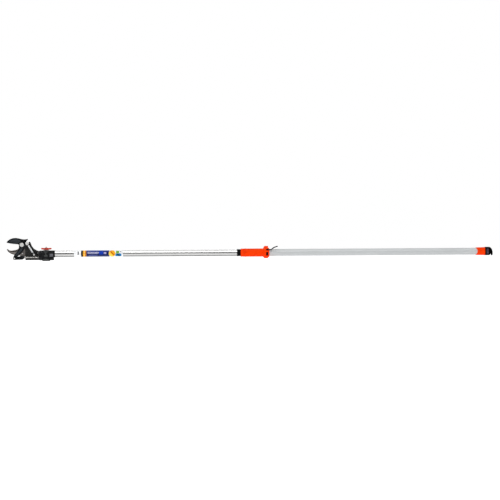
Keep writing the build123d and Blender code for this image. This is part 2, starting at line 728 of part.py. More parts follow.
MOUTH_R = 16.4
MOUTH_WAIST_R = 15.9
KEY_LENGTH = 24.0
mouth_ring = turned([
    (MOUTH_START, MOUTH_BORE_R + 0.4),
    (MOUTH_START + 0.8, MOUTH_BORE_R),
    (LOWER_START, MOUTH_BORE_R),
    (LOWER_START, LOWER_R),
    (GRIP_START - 0.2, LOWER_R),
    (GRIP_START - 1.5, MOUTH_WAIST_R),
    (MOUTH_START + 6, MOUTH_WAIST_R),
    (MOUTH_START + 4, MOUTH_R),
    (MOUTH_START, MOUTH_R),
])
with BuildPart() as mouth_bush:
    add(mouth_ring.part)
    with BuildSketch(cross_plane(MOUTH_START + 1)):
        with Locations((UPPER_R + 0.1, 0), (-UPPER_R - 0.1, 0)):
            Rectangle(1.1, GROOVE_WIDTH - 0.6)
    extrude(amount=KEY_LENGTH)
save(mouth_bush, "mouth_bush")

WINDOW_LOW = 9.2
WINDOW_TOP = 16.8
CAVITY_CEILING = 22.0
with BuildPart() as grip_sleeve:
    with BuildSketch(Plane.XZ):
        with BuildLine():
            Polyline(
                (GRIP_START, 0), (GRIP_START, GRIP_R - 0.8), (GRIP_START + 0.8, GRIP_R),
                (GRIP_START + 5, GRIP_R), (GRIP_START + 6, GRIP_R - 0.7),
                (GRIP_START + 8, GRIP_R - 0.7), (GRIP_START + 9, GRIP_R), (GRIP_FLARE, GRIP_R),
                (GRIP_FLARE, 0), close=True,
            )
        make_face()
    revolve(axis=Axis.X)
    with BuildSketch(cross_plane(GRIP_FLARE)):
        Circle(GRIP_R)
    with BuildSketch(cross_plane(RING_START)):
        with Locations((0, RING_Z)):
            Circle(RING_R)
    loft()
    with BuildSketch(cross_plane(RING_START)):
        with Locations((0, RING_Z)):
            Circle(RING_R)
    extrude(amount=RING_END - RING_START)
    with BuildSketch(cross_plane(RING_END)):
        Circle(NOSE_R)
    extrude(amount=GRIP_END - RING_END)
    rim = grip_sleeve.edges().filter_by(GeomType.CIRCLE).group_by(Axis.X)[-1]
    fillet(rim, NOSE_FILLET)
    with BuildSketch(cross_plane(GRIP_START)):
        Circle(LOWER_R + 0.03)
    extrude(amount=GRIP_END - GRIP_START, mode=Mode.SUBTRACT)
    # room for the brake shoe and its spring over the lower tube
    with Locations((SHOE_X, 0, (11 + CAVITY_CEILING) / 2)):
        Box(SHOE_END - SHOE_START + 1.6, 2 * EAR_HALF_Y + 1, CAVITY_CEILING - 11, mode=Mode.SUBTRACT)
    with Locations((SHOE_X, 0, 20.0)):
        Box(5.6, 6.6, 12.0, mode=Mode.SUBTRACT)
    # slots of the wire lever, closed inside the flare and open to the side in the ring
    for side in (-1, 1):
        with Locations((61.5, side * 18.8, 14.3)):
            Box(12.6, 5.8, 8.2, mode=Mode.SUBTRACT)
        with Locations((72.3, side * 24.0, (WINDOW_LOW + WINDOW_TOP) / 2)):
            Box(16.6, 16.2, WINDOW_TOP - WINDOW_LOW, mode=Mode.SUBTRACT)
        with Locations((69.0, side * 26.0, -6.0)):
            Box(9.4, 12.0, 16.0, mode=Mode.SUBTRACT)
    with BuildSketch(side_plane(ACROSS / 2)):
        with Locations((LEVER_X, LEVER_Z)):
            Circle(HINGE_PIN_R + 0.05)
    extrude(amount=ACROSS, mode=Mode.SUBTRACT)
    # rivet seats, top and bottom
    with BuildSketch(Plane.XY.offset(-ACROSS / 2)):
        with Locations((RIVET_X, 0)):
            Circle(GRIP_RIVET_R)
    extrude(amount=ACROSS, mode=Mode.SUBTRACT)
save(grip_sleeve, "grip_sleeve")

HINGE_PIN_LENGTH = 10.4
HINGE_PIN_Y = 15.7
with BuildPart() as lever_pins:
    for side in (-1, 1):
        with Locations((LEVER_X, side * HINGE_PIN_Y, LEVER_Z)):
            Cylinder(HINGE_PIN_R, HINGE_PIN_LENGTH, rotation=(90, 0, 0))
save(lever_pins, "lever_pins")

with BuildPart() as grip_rivets:
    for side in (-1, 1):
        with Locations((RIVET_X, 0, side * 16.9)):
            Cylinder(GRIP_RIVET_R, 3.6)
        with Locations((RIVET_X, 0, side * 19.0)):
            Cylinder(3.0, 0.6)
save(grip_rivets, "grip_rivets")

# Wire lever: one bent wire that straddles the pole, with its ends turned in under the shoe.
WIRE_END_X = 58.5
WIRE_END_Y = 13.4
BEND_R = 3.6
EYE_R = 3.0
EYE_T = 4.2
LEG = [(WIRE_END_X, LEVER_Z), (89.2, LEVER_Z), (99.5, 22.2), (111.0, 26.6), (116.0, 27.6)]
left_side = [(x, -LEVER_Y, z) for x, z in LEG]
right_side = [(x, LEVER_Y, z) for x, z in reversed(LEG)]
wire_start = (WIRE_END_X, -WIRE_END_Y, LEVER_Z)
wire_end = (WIRE_END_X, WIRE_END_Y, LEVER_Z)
lever_route = [wire_start] + left_side + right_side + [wire_end]
with BuildPart() as lock_lever:
    with BuildLine() as wire_line:
        FilletPolyline(*lever_route, radius=BEND_R)
    with BuildSketch(Plane(origin=lever_route[0], z_dir=(0, -1, 0))):
        Circle(WIRE_R)
    sweep(path=wire_line.wires()[0])
    for side in (-1, 1):
        with Locations((LEVER_X, side * LEVER_Y, LEVER_Z)):
            Cylinder(EYE_R, EYE_T, rotation=(90, 0, 0))
    with BuildSketch(side_plane(ACROSS / 2)):
        with Locations((LEVER_X, LEVER_Z)):
            Circle(HINGE_PIN_R + RUNNING)
    extrude(amount=ACROSS, mode=Mode.SUBTRACT)
save(lock_lever, "lock_lever")

SHOE_LOW = UPPER_R + 0.35
EAR_LOW = 17.0
EAR_TOP = 19.4
with BuildPart() as lock_shoe:
    with BuildSketch(Plane.XY.offset(SHOE_LOW - 3)):
        with Locations((SHOE_X, 0)):
            Rectangle(SHOE_END - SHOE_START, 2 * SHOE_HALF_Y)
    extrude(amount=EAR_TOP - SHOE_LOW + 3)
    with BuildSketch(Plane.XY.offset(EAR_LOW)):
        with Locations((SHOE_X, 0)):
            Rectangle(SHOE_END - SHOE_START, 2 * EAR_HALF_Y)
    extrude(amount=EAR_TOP - EAR_LOW)
    with BuildSketch(cross_plane(SHOE_START - 1)):
        Circle(SHOE_LOW)
    extrude(amount=SHOE_END - SHOE_START + 2, mode=Mode.SUBTRACT)
save(lock_shoe, "lock_shoe")

with BuildPart() as shoe_spring:
    with BuildSketch(Plane.XY.offset(EAR_TOP)):
        with Locations((SHOE_X, 0)):
            Circle(2.5)
            Circle(1.7, mode=Mode.SUBTRACT)
    extrude(amount=6.4)
save(shoe_spring, "shoe_spring")

# =========================================================================================
# Hand end
# =========================================================================================

SPIGOT_START = 1000.0
collar_body = turned([
    (SPIGOT_START, DRIVE_TUBE_R + RUNNING),
    (COLLAR_END, DRIVE_TUBE_R + RUNNING),
    (COLLAR_END, COLLAR_RING_R - 0.8),
    (COLLAR_END - 0.8, COLLAR_RING_R),
    (COLLAR_END - 4.0, COLLAR_RING_R),
    (COLLAR_END - 5.0, COLLAR_RING_R - 0.5),
    (LOWER_END, COLLAR_BODY_R),
    (LOWER_END, LOWER_BORE_R),
    (SPIGOT_START, LOWER_BORE_R),
])
collar_skirt = turned([
    (COLLAR_START, LOWER_R + 0.03),
    (LOWER_END, LOWER_R + 0.03),
    (LOWER_END, COLLAR_BODY_R),
    (COLLAR_START, COLLAR_SKIRT_R),
])
SCOOP_R = 22.0
with BuildPart() as end_collar:
    add(collar_skirt.part)
    # scooped front edge, further back at the sides than at top and bottom
    with BuildSketch(side_plane(ACROSS / 2)):
        with Locations((COLLAR_START - 15.0, 0)):
            Circle(SCOOP_R)
    extrude(amount=ACROSS, mode=Mode.SUBTRACT)
    add(collar_body.part)
    with BuildSketch(Plane.XY.offset(-ACROSS / 2)):
        with Locations((COLLAR_PIN_X, 0)):
            Circle(COLLAR_PIN_R)
    extrude(amount=ACROSS, mode=Mode.SUBTRACT)
save(end_collar, "end_collar")

with BuildPart() as collar_pins:
    for side in (-1, 1):
        with Locations((COLLAR_PIN_X, 0, side * 12.6)):
            Cylinder(COLLAR_PIN_R, 7.4)
save(collar_pins, "collar_pins")

# Pull knob: round cap with a finger hook under its end.
with BuildPart() as pull_knob:
    with BuildSketch(side_plane(ACROSS / 2)):
        with BuildLine():
            Line((KNOB_START, KNOB_TOP), (1089.0, KNOB_TOP))
            Spline((1089.0, KNOB_TOP), (1097.8, 13.2), (1102.0, 3.0), (1103.6, -5.0))
            Line((1103.6, -5.0), (1103.9, -17.0))
            ThreePointArc((1103.9, -17.0), (1101.4, -20.0), (1098.9, -17.0))
            Line((1098.9, -17.0), (1098.7, -10.6))
            ThreePointArc((1098.7, -10.6), (1096.6, -8.6), (1094.4, -10.2))
            Spline((1094.4, -10.2), (1092.6, -14.6), (1088.6, KNOB_BOTTOM))
            Line((1088.6, KNOB_BOTTOM), (KNOB_START, KNOB_BOTTOM))
            Line((KNOB_START, KNOB_BOTTOM), (KNOB_START, KNOB_TOP))
        make_face()
    extrude(amount=ACROSS)
    with BuildSketch(cross_plane(KNOB_START - 1)):
        Circle(KNOB_R)
    extrude(amount=40, mode=Mode.INTERSECT)
    with BuildSketch(cross_plane(KNOB_START)):
        Circle(DRIVE_TUBE_R)
    extrude(amount=DRIVE_TUBE_END - KNOB_START, mode=Mode.SUBTRACT)
    with BuildSketch(side_plane(ACROSS / 2)):
        with Locations((KNOB_PIN_X, 0)):
            Circle(KNOB_PIN_R)
    extrude(amount=ACROSS, mode=Mode.SUBTRACT)
save(pull_knob, "pull_knob")

with BuildPart() as drive_tube:
    with BuildSketch(cross_plane(DRIVE_TUBE_START)):
        Circle(DRIVE_TUBE_R)
        Circle(DRIVE_TUBE_BORE_R, mode=Mode.SUBTRACT)
    extrude(amount=DRIVE_TUBE_END - DRIVE_TUBE_START)
    with BuildSketch(side_plane(ACROSS / 2)):
        with Locations((KNOB_PIN_X, 0)):
            Circle(KNOB_PIN_R)
    extrude(amount=ACROSS, mode=Mode.SUBTRACT)
save(drive_tube, "drive_tube")

with BuildPart() as knob_pin:
    with Locations((KNOB_PIN_X, 0, 0)):
        Cylinder(KNOB_PIN_R, KNOB_PIN_LENGTH, rotation=(90, 0, 0))
save(knob_pin, "knob_pin")

CLUTCH_START = 80.0
CLUTCH_END = 104.0
CLUTCH_R = 9.5
drive_clutch = turned([
    (CLUTCH_START, ROD_R + 0.1),
    (DRIVE_TUBE_START, ROD_R + 0.1),
    (DRIVE_TUBE_START, DRIVE_TUBE_R),
    (CLUTCH_END, DRIVE_TUBE_R),
    (CLUTCH_END, CLUTCH_R - 1.5),
    (CLUTCH_END - 12, CLUTCH_R),
    (CLUTCH_START + 4, CLUTCH_R),
    (CLUTCH_START, CLUTCH_R - 2.5),
])
save(drive_clutch, "drive_clutch")
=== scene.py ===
import math

import bmesh
import bpy
from mathutils import Matrix, Vector
from mathutils.geometry import tessellate_polygon

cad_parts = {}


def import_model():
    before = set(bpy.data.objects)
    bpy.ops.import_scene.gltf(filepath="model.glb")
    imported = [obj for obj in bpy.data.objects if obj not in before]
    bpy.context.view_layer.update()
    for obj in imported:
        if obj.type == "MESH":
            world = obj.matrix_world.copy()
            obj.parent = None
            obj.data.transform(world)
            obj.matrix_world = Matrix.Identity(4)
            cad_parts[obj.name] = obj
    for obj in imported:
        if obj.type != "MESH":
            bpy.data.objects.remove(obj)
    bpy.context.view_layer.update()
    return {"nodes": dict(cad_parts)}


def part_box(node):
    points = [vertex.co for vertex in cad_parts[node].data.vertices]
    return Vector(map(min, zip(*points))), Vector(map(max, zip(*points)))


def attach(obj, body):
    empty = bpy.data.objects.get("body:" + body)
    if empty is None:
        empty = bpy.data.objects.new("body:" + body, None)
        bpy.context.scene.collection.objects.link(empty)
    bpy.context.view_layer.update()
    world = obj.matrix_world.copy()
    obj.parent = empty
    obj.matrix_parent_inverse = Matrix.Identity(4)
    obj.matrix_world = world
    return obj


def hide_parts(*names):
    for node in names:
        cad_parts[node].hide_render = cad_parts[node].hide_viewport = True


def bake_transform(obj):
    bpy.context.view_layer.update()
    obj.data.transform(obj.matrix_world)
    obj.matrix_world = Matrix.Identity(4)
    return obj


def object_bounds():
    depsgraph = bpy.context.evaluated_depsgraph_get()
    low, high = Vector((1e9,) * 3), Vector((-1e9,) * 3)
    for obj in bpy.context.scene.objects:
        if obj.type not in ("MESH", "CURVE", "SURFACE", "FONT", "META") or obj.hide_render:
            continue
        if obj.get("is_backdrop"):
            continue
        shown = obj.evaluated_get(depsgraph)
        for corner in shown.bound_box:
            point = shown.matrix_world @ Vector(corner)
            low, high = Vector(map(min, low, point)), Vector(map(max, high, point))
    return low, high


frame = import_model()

# Looks of a telescoping pole pruner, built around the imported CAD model. Lengths are in metres,
# with MM for values that are easier to read in millimetres.

MM = 0.001
NODES = frame["nodes"]


def centre(node):
    low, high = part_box(node)
    return (low + high) / 2


PIVOT = centre("pivot_nut")
STUD = centre("accessory_stud")
AXIS_X = Vector((1, 0, 0))
AXIS_Y = Vector((0, 1, 0))
AXIS_Z = Vector((0, 0, 1))


# ---------------------------------------------------------------------------------------------
# Materials
# ---------------------------------------------------------------------------------------------

def srgb(red, green, blue):
    """Linear colour of an 8-bit sRGB one."""
    def channel(value):
        value = value / 255
        return value / 12.92 if value <= 0.04045 else ((value + 0.055) / 1.055) ** 2.4
    return (channel(red), channel(green), channel(blue), 1.0)


class Nodes:
    """Builds a node tree call by call."""

    def __init__(self, tree):
        self.tree = tree

    def node(self, kind, **inputs):
        made = self.tree.nodes.new(kind)
        for name, value in inputs.items():
            self.feed(made.inputs[name.replace("_", " ")], value)
        return made

    def feed(self, socket, value):
        if isinstance(value, bpy.types.NodeSocket):
            self.tree.links.new(value, socket)
        else:
            socket.default_value = value

    def math(self, operation, first, second=0.0, clamp=False):
        made = self.tree.nodes.new("ShaderNodeMath")
        made.operation = operation
        made.use_clamp = clamp
        self.feed(made.inputs[0], first)
        self.feed(made.inputs[1], second)
        return made.outputs[0]

    def ramp(self, value, stops):
        made = self.node("ShaderNodeValToRGB", Fac=value)
        bar = made.color_ramp
        while len(bar.elements) < len(stops):
            bar.elements.new(0.5)
        for element, (position, colour) in zip(bar.elements, stops):
            element.position = position
            element.color = colour
        return made.outputs["Color"]

    def span(self, value, low, high, new_low=0.0, new_high=1.0):
        made = self.node("ShaderNodeMapRange", Value=value, From_Min=low, From_Max=high, To_Min=new_low,
                         To_Max=new_high)
        return made.outputs["Result"]

    def mix(self, share, first, second):
        made = self.tree.nodes.new("ShaderNodeMix")
        made.data_type = "RGBA"
        for socket, value in ((0, share), (6, first), (7, second)):
            self.feed(made.inputs[socket], value)
        return made.outputs[2]


class Shader(Nodes):
    """A material around one principled surface."""

    def __init__(self, name, metallic=0.0, roughness=0.5, specular=0.5, coat=0.0, coat_roughness=0.1):
        self.material = bpy.data.materials.new(name)
        self.material.use_nodes = True
        super().__init__(self.material.node_tree)
        self.surface = self.tree.nodes["Principled BSDF"]
        for socket, value in (("Metallic", metallic), ("Roughness", roughness),
                              ("Specular IOR Level", specular), ("Coat Weight", coat),
                              ("Coat Roughness", coat_roughness)):
            self.surface.inputs[socket].default_value = value
        self.place = self.node("ShaderNodeTexCoord").outputs["Object"]

    def noise(self, scale, stretch=(1, 1, 1), detail=3.0, roughness=0.5):
        moved = self.node("ShaderNodeMapping", Vector=self.place, Scale=stretch)
        made = self.node("ShaderNodeTexNoise", Vector=moved.outputs[0], Scale=scale, Detail=detail,
                         Roughness=roughness)
        return made.outputs["Fac"]

    def colour(self, value):
        self.feed(self.surface.inputs["Base Color"], value)

    def rough(self, value, low, high):
        """Roughness between low and high, following a noise value."""
        self.feed(self.surface.inputs["Roughness"], self.span(value, 0.3, 0.7, low, high))

    def bump(self, height, strength, distance):
        made = self.node("ShaderNodeBump", Height=height, Strength=strength, Distance=distance)
        normal = self.surface.inputs["Normal"]
        if normal.is_linked:
            self.tree.links.new(normal.links[0].from_socket, made.inputs["Normal"])
        self.feed(normal, made.outputs[0])

    def wear(self, low, high):
        """Share of an exposed edge, from the curvature of the mesh."""
        return self.span(self.node("ShaderNodeNewGeometry").outputs["Pointiness"], low, high)


def plastic(name, base, deep, pale, roughness, grain=0.12, coat=0.0, specular=0.3):
    """Moulded plastic: soft mottling, fine spark-eroded grain and paler rubbed edges."""
    made = Shader(name, roughness=roughness, specular=specular, coat=coat, coat_roughness=0.25)
    cloud = made.noise(38, detail=5.0)
    tone = made.ramp(cloud, [(0.30, deep), (0.52, base), (0.78, base)])
    worn = made.mix(made.wear(0.53, 0.66), tone, pale)
    scuff = made.noise(9, stretch=(6, 60, 60), detail=8.0, roughness=0.7)
    scuffs = made.math("MULTIPLY", made.span(scuff, 0.62, 0.72), 0.25, clamp=True)
    made.colour(made.mix(scuffs, worn, pale))
    made.rough(made.noise(240, detail=4.0), roughness - 0.07, roughness + 0.09)
    made.bump(made.noise(2600, detail=2.0), grain, 0.0002)
    made.bump(made.noise(70, detail=2.0), 0.06, 0.001)
    return made.material


def metal(name, base, deep, roughness, grain=(1, 1, 1), strength=0.08, scale=900, pale=None, metallic=1.0,
          cloudy=0.35):
    """Bare or plated metal with drawn or turned grain along one direction."""
    made = Shader(name, metallic=metallic, roughness=roughness)
    lines = made.noise(scale, stretch=grain, detail=4.0, roughness=0.6)
    cloud = made.noise(26, detail=6.0, roughness=0.6)
    both = made.mix(cloudy, lines, cloud)
    tone = made.ramp(both, [(0.32, deep), (0.62, base)])
    if pale:
        tone = made.mix(made.wear(0.52, 0.62), tone, pale)
    made.colour(tone)
    made.rough(lines, roughness - 0.06, roughness + 0.10)
    made.bump(lines, strength, 0.0001)
    return made.material


def painted(name, base, deep, pale, roughness, specks):
    """Powder-coated or cast surface: orange-peel bump, dull patches and rubbed edges."""
    made = Shader(name, roughness=roughness, specular=0.10)
    cloud = made.noise(55, detail=6.0, roughness=0.65)
    tone = made.ramp(cloud, [(0.30, deep), (0.55, base), (0.85, base)])
    made.colour(made.mix(made.wear(0.53, 0.66), tone, pale))
    made.rough(made.noise(420, detail=5.0), roughness - 0.08, roughness + 0.10)
    made.bump(made.noise(1500, detail=4.0, roughness=0.6), specks, 0.00025)
    return made.material


ORANGE = plastic("orange_plastic", srgb(246, 62, 0), srgb(232, 52, 0), srgb(252, 84, 18), 0.50, specular=0.05)
# darker copy of the orange plastic for the wing nut: its extra depth is painted shade
NUT_ORANGE_PAINTED_SHADE = plastic("orange_wing_nut_painted_shade", srgb(206, 50, 14), srgb(150, 30, 8), srgb(236, 92, 44), 0.44,
                     specular=0.2)
BLACK_NYLON = plastic("black_nylon", srgb(12, 12, 13), srgb(6, 6, 7), srgb(30, 30, 32), 0.50, grain=0.3,
                      specular=0.05)
HOUSING = plastic("housing_nylon", srgb(28, 29, 31), srgb(16, 17, 18), srgb(58, 60, 62), 0.48, grain=0.35,
                  specular=0.10)
BARREL = plastic("barrel_nylon", srgb(66, 69, 68), srgb(48, 51, 51), srgb(104, 107, 106), 0.46, grain=0.3)
HOUSING_PANEL = plastic("housing_panel", srgb(98, 98, 104), srgb(74, 75, 82), srgb(128, 130, 136), 0.34,
                        grain=0.05)
BLACK_CAP = plastic("black_cap", srgb(6, 5, 5), srgb(2, 2, 2), srgb(16, 16, 18), 0.44, grain=0.08,
                    specular=0.02)
# pale blue-grey for the pull knob's side inlays: a painted reflection on their flat faces
CAP_PANEL_PAINTED_REFLECTION = plastic("cap_panel_painted_reflection", srgb(66, 62, 80), srgb(36, 44, 56), srgb(104, 98, 116), 0.30, grain=0.05,
                    coat=0.1)
CASTING = painted("frame_casting", srgb(44, 44, 43), srgb(26, 26, 26), srgb(92, 92, 90), 0.55, specks=0.45)
BLADE_COAT = painted("blade_coat", srgb(14, 15, 17), srgb(8, 9, 10), srgb(56, 60, 64), 0.42, specks=0.10)
BLADE_FLAT = metal("blade_flat", srgb(66, 72, 78), srgb(40, 44, 49), 0.40, grain=(1, 1, 9), strength=0.10,
                   scale=420, metallic=0.55)
GROUND = metal("ground_edge", srgb(92, 96, 100), srgb(52, 55, 58), 0.32, grain=(1, 1, 14), strength=0.12,
               scale=380)
HOOK_STEEL = metal("hook_steel", srgb(166, 158, 153), srgb(122, 114, 110), 0.34, grain=(1, 1, 12),
                   strength=0.14, scale=340, pale=srgb(206, 200, 196))
HOOK_BEVEL = metal("hook_bevel", srgb(104, 98, 94), srgb(68, 63, 60), 0.40, grain=(12, 1, 1), strength=0.12,
                   scale=300)
ZINC = metal("zinc_plate", srgb(240, 240, 238), srgb(214, 214, 212), 0.26, strength=0.03, scale=800,
             pale=srgb(250, 250, 248), cloudy=0.6, metallic=0.30)
DARK_STEEL = metal("dark_steel", srgb(74, 75, 77), srgb(44, 45, 47), 0.36, strength=0.10, scale=500,
                   pale=srgb(132, 133, 134))
SPRING_WIRE = metal("spring_wire", srgb(244, 246, 247), srgb(204, 207, 209), 0.22, strength=0.04, scale=700,
                    metallic=0.30)
ROD_STEEL = metal("rod_steel", srgb(214, 212, 208), srgb(168, 166, 162), 0.26, grain=(1, 14, 14),
                  strength=0.08)
INNER_ALUMINIUM = metal("inner_aluminium", srgb(214, 215, 216), srgb(182, 183, 184), 0.32, grain=(1, 20, 20))
BRASS = metal("brass_bush", srgb(208, 172, 96), srgb(164, 128, 62), 0.30, grain=(20, 1, 1))
WIRE_BLACK = painted("wire_black", srgb(24, 24, 25), srgb(12, 12, 13), srgb(112, 113, 114), 0.38, specks=0.15)


def tube_metal(name, base, deep, roughness, metallic, streaks, groove=None):
    """Drawn tube: long streaks along X, faint rings from handling, a few fine scratches and, if asked,
    painted shade down the side grooves.
    """
    made = Shader(name, metallic=metallic, roughness=roughness)
    lines = made.noise(60, stretch=(0.25, 16, 16), detail=8.0, roughness=0.65)
    fine = made.noise(520, stretch=(0.12, 6, 6), detail=5.0, roughness=0.7)
    rings = made.noise(14, stretch=(9, 0.5, 0.5), detail=5.0)
    tone = made.ramp(made.mix(0.4, lines, fine), [(0.30, deep), (0.62, base)])
    tone = made.mix(made.math("MULTIPLY", made.span(rings, 0.45, 0.75), 0.10), tone, deep)
    if groove:
        # painted shade: the side grooves are darkened towards a dull grey to stand for the shade in them
        height = made.node("ShaderNodeSeparateXYZ", Vector=made.place).outputs["Z"]
        inside = made.span(made.math("ABSOLUTE", height), groove * 0.6, groove, 1.0, 0.0)
        tone = made.mix(made.math("MULTIPLY", inside, made.span(lines, 0.2, 0.6, 0.8, 1.0)), tone,
                        srgb(112, 112, 111))
    made.colour(tone)
    scratch = made.math("MULTIPLY", made.span(fine, 0.66, 0.74), 0.12)
    wander = made.span(lines, 0.3, 0.7, roughness - 0.05, roughness + 0.07)
    made.feed(made.surface.inputs["Roughness"], made.math("ADD", wander, scratch))
    made.bump(fine, streaks, 0.00006)
    return made.material


# groove is the half-width of the painted shade that darkens the side grooves
UPPER_TUBE = tube_metal("bright_aluminium", srgb(244, 244, 243), srgb(220, 220, 219), 0.24, 0.92, 0.10,
                        groove=0.0023)
LOWER_TUBE = tube_metal("satin_aluminium", srgb(206, 209, 210), srgb(190, 193, 194), 0.50, 0.20, 0.08)


def label_material():
    """Printed film: flat colour fields laid out along the pole, with a made-up pattern of bars.

    along runs from 0 to 1 down the film, and height from -1 to 1 across the tube.
    """
    low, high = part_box("label_sleeve")
    length = high.x - low.x
    made = Shader("label_film", roughness=0.34, specular=0.10, coat=0.02, coat_roughness=0.2)
    split = made.node("ShaderNodeSeparateXYZ", Vector=made.place)
    along = made.math("DIVIDE", made.math("SUBTRACT", split.outputs["X"], low.x), length)
    height = made.math("DIVIDE", split.outputs["Z"], high.z)

    def both(first, second, clamp=False):
        return made.math("MULTIPLY", first, second, clamp=clamp)

    def slanted(pitch, centre=0.0):
        return made.math("ADD", both(made.math("SUBTRACT", along, centre), pitch), height)

    def band(value, start, end, soft=0.0015):
        return both(made.span(value, start - soft, start + soft),
                    made.span(value, end - soft, end + soft, 1.0, 0.0), clamp=True)

    def disc(x, radius, soft=0.02):
        wide = both(made.math("SUBTRACT", along, x), length / high.z)
        far = made.math("SQRT", made.math("ADD", both(wide, wide), both(height, height)))
        return made.span(far, radius - soft, radius + soft, 1.0, 0.0)

    def patches(tone, rows):
        """Colour fields of (start, end, low edge, high edge, colour, share)."""
        for start, end, low_edge, high_edge, colour, share in rows:
            inside = both(band(along, start, end), band(height, low_edge, high_edge, 0.03))
            tone = made.mix(both(inside, share), tone, colour)
        return tone

    tone = made.ramp(made.noise(160, detail=3.0), [(0.3, srgb(238, 240, 242)), (0.7, srgb(250, 251, 252))])
    # a mark on white, then a striped start: black and three ambers
    tone = patches(tone, ((0.074, 0.096, -0.40, 0.66, srgb(40, 42, 46), 1.0),
                          (0.144, 0.184, -2.0, 2.0, srgb(8, 6, 7), 1.0),
                          (0.184, 0.205, -2.0, 2.0, srgb(250, 176, 20), 1.0),
                          (0.205, 0.222, -2.0, 2.0, srgb(255, 206, 96), 1.0),
                          (0.222, 0.250, -2.0, 2.0, srgb(214, 132, 8), 1.0)))
    # deep blue field with a lighter edge above and below
    field = made.ramp(made.span(height, -1.0, 1.0),
                      [(0.0, srgb(116, 120, 152)), (0.16, srgb(48, 56, 104)), (0.32, srgb(12, 26, 78)),
                       (0.76, srgb(10, 28, 92)), (0.90, srgb(34, 58, 142)), (1.0, srgb(48, 76, 168))])
    streak = made.noise(46, stretch=(1.6, 1, 22), detail=4.0)
    field = made.mix(made.span(streak, 0.45, 0.80, 0.0, 0.20), field, srgb(60, 80, 160))
    tone = made.mix(band(along, 0.250, 0.713), tone, field)
    # a row of plain slanted bars
    beat = made.math("FRACT", made.math("ADD", both(along, 46.0), both(height, 0.9)))
    bars = both(band(beat, 0.12, 0.66, 0.06), band(height, -0.06, 0.52, 0.04))
    tone = made.mix(both(both(band(along, 0.272, 0.507), bars), 0.92), tone, srgb(214, 214, 246))
    tone = patches(tone, ((0.512, 0.598, -0.30, 0.62, srgb(16, 58, 176), 1.0),
                          (0.608, 0.662, -0.14, 0.44, srgb(190, 184, 230), 0.8),
                          (0.300, 0.480, -0.62, -0.40, srgb(120, 130, 200), 0.6),
                          (0.713, 0.722, -2.0, 2.0, srgb(14, 18, 52), 1.0)))
    # sun disc, then a green and a teal field
    sun = made.ramp(made.span(slanted(16.0, 0.779), -1.4, 1.4),
                    [(0.20, srgb(255, 222, 90)), (0.42, srgb(255, 196, 48)), (0.50, srgb(176, 84, 4)),
                     (0.60, srgb(216, 124, 8)), (0.74, srgb(248, 176, 20))])
    tone = made.mix(disc(0.779, 1.04), tone, sun)
    tone = patches(tone, ((0.860, 0.926, 0.02, 0.84, srgb(112, 168, 62), 1.0),
                          (0.846, 0.970, -0.88, -0.02, srgb(34, 124, 184), 1.0)))
    dark = both(band(slanted(14.0, 0.900), -0.62, -0.10, 0.05), band(height, -0.80, -0.06, 0.03))
    tone = made.mix(both(dark, 0.9), tone, srgb(10, 40, 58))
    tone = patches(tone, ((0.950, 0.965, 0.34, 0.72, srgb(20, 34, 40), 1.0),))
    made.colour(tone)
    made.rough(made.noise(300, detail=3.0), 0.26, 0.36)
    made.bump(made.noise(120, stretch=(0.4, 1, 1), detail=3.0), 0.05, 0.0004)
    return made.material


LABEL = label_material()


# ---------------------------------------------------------------------------------------------
# Mesh tools
# ---------------------------------------------------------------------------------------------

def shade(target, degrees=32):
    """Smooth faces with sharp edges where neighbours turn by more than the angle."""
    mesh = bmesh.new()
    mesh.from_mesh(target.data)
    bmesh.ops.recalc_face_normals(mesh, faces=mesh.faces)
    limit = math.radians(degrees)
    for face in mesh.faces:
        face.smooth = True
    for edge in mesh.edges:
        edge.smooth = len(edge.link_faces) == 2 and edge.calc_face_angle(0.0) < limit
    mesh.to_mesh(target.data)
    mesh.free()


def piece(name, verts, faces, materials, face_slots=None):
    data = bpy.data.meshes.new(name)
    data.from_pydata([tuple(v) for v in verts], [], faces)
    for material in materials:
        data.materials.append(material)
    if face_slots:
        data.polygons.foreach_set("material_index", face_slots)
    made = bpy.data.objects.new(name, data)
    bpy.context.scene.collection.objects.link(made)
    shade(made)
    return made


def hand_over(made, body, slot, *nodes):
    """The finished piece rides on a body and stands for CAD nodes, which it hides; slot is not used."""
    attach(made, body)
    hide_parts(*nodes)


def turned(count):
    """Angles of count points round a circle."""
    return [2 * math.pi * k / count for k in range(count)]


def spoke(angle, side=AXIS_Y, other=AXIS_Z):
    return side * math.cos(angle) + other * math.sin(angle)


def band_faces(first, second, count):
    """Quads between two closed rings of points, given by the index of each ring's first point."""
    return [(first + k, first + (k + 1) % count, second + (k + 1) % count, second + k)
            for k in range(count)]


def bend(before, p, after, reach, steps):
    """Points of a short curve in place of the corner p."""
    a = p + (before - p).normalized() * reach
    b = p + (after - p).normalized() * reach
    return [a * (1 - t) ** 2 + p * 2 * t * (1 - t) + b * t * t for t in (k / steps for k in range(steps + 1))]


def rounded(points, radius, steps=5):
    """2-D ring whose corners become short curves."""
    points = [Vector(p) for p in points]
    out = []
    for before, p, after in zip(points[-1:] + points, points, points[1:] + points[:1]):
        reach = min(radius, (before - p).length * 0.45, (after - p).length * 0.45)
        out += bend(before, p, after, reach, steps) if reach >= 1e-7 else [p]
    return [tuple(p) for p in out]


def lathe(name, profile, materials, origin=(0, 0, 0), axis=AXIS_X, turns=96):
    """Turn an open or closed (along, radius) profile about an axis through origin."""
    axis = Vector(axis).normalized()
    side = axis.orthogonal().normalized()
    other = axis.cross(side)
    verts = [Vector(origin) + axis * along + spoke(angle, side, other) * radius
             for along, radius in profile for angle in turned(turns)]
    rows = len(profile)
    closed = (Vector(profile[0]) - Vector(profile[-1])).length > 1e-9 and profile[0][1] > 1e-9
    faces = []
    for row in range(rows if closed else rows - 1):
        faces += band_faces(row * turns, (row + 1) % rows * turns, turns)
    made = piece(name, verts, faces, materials)
    weld(made)
    return made


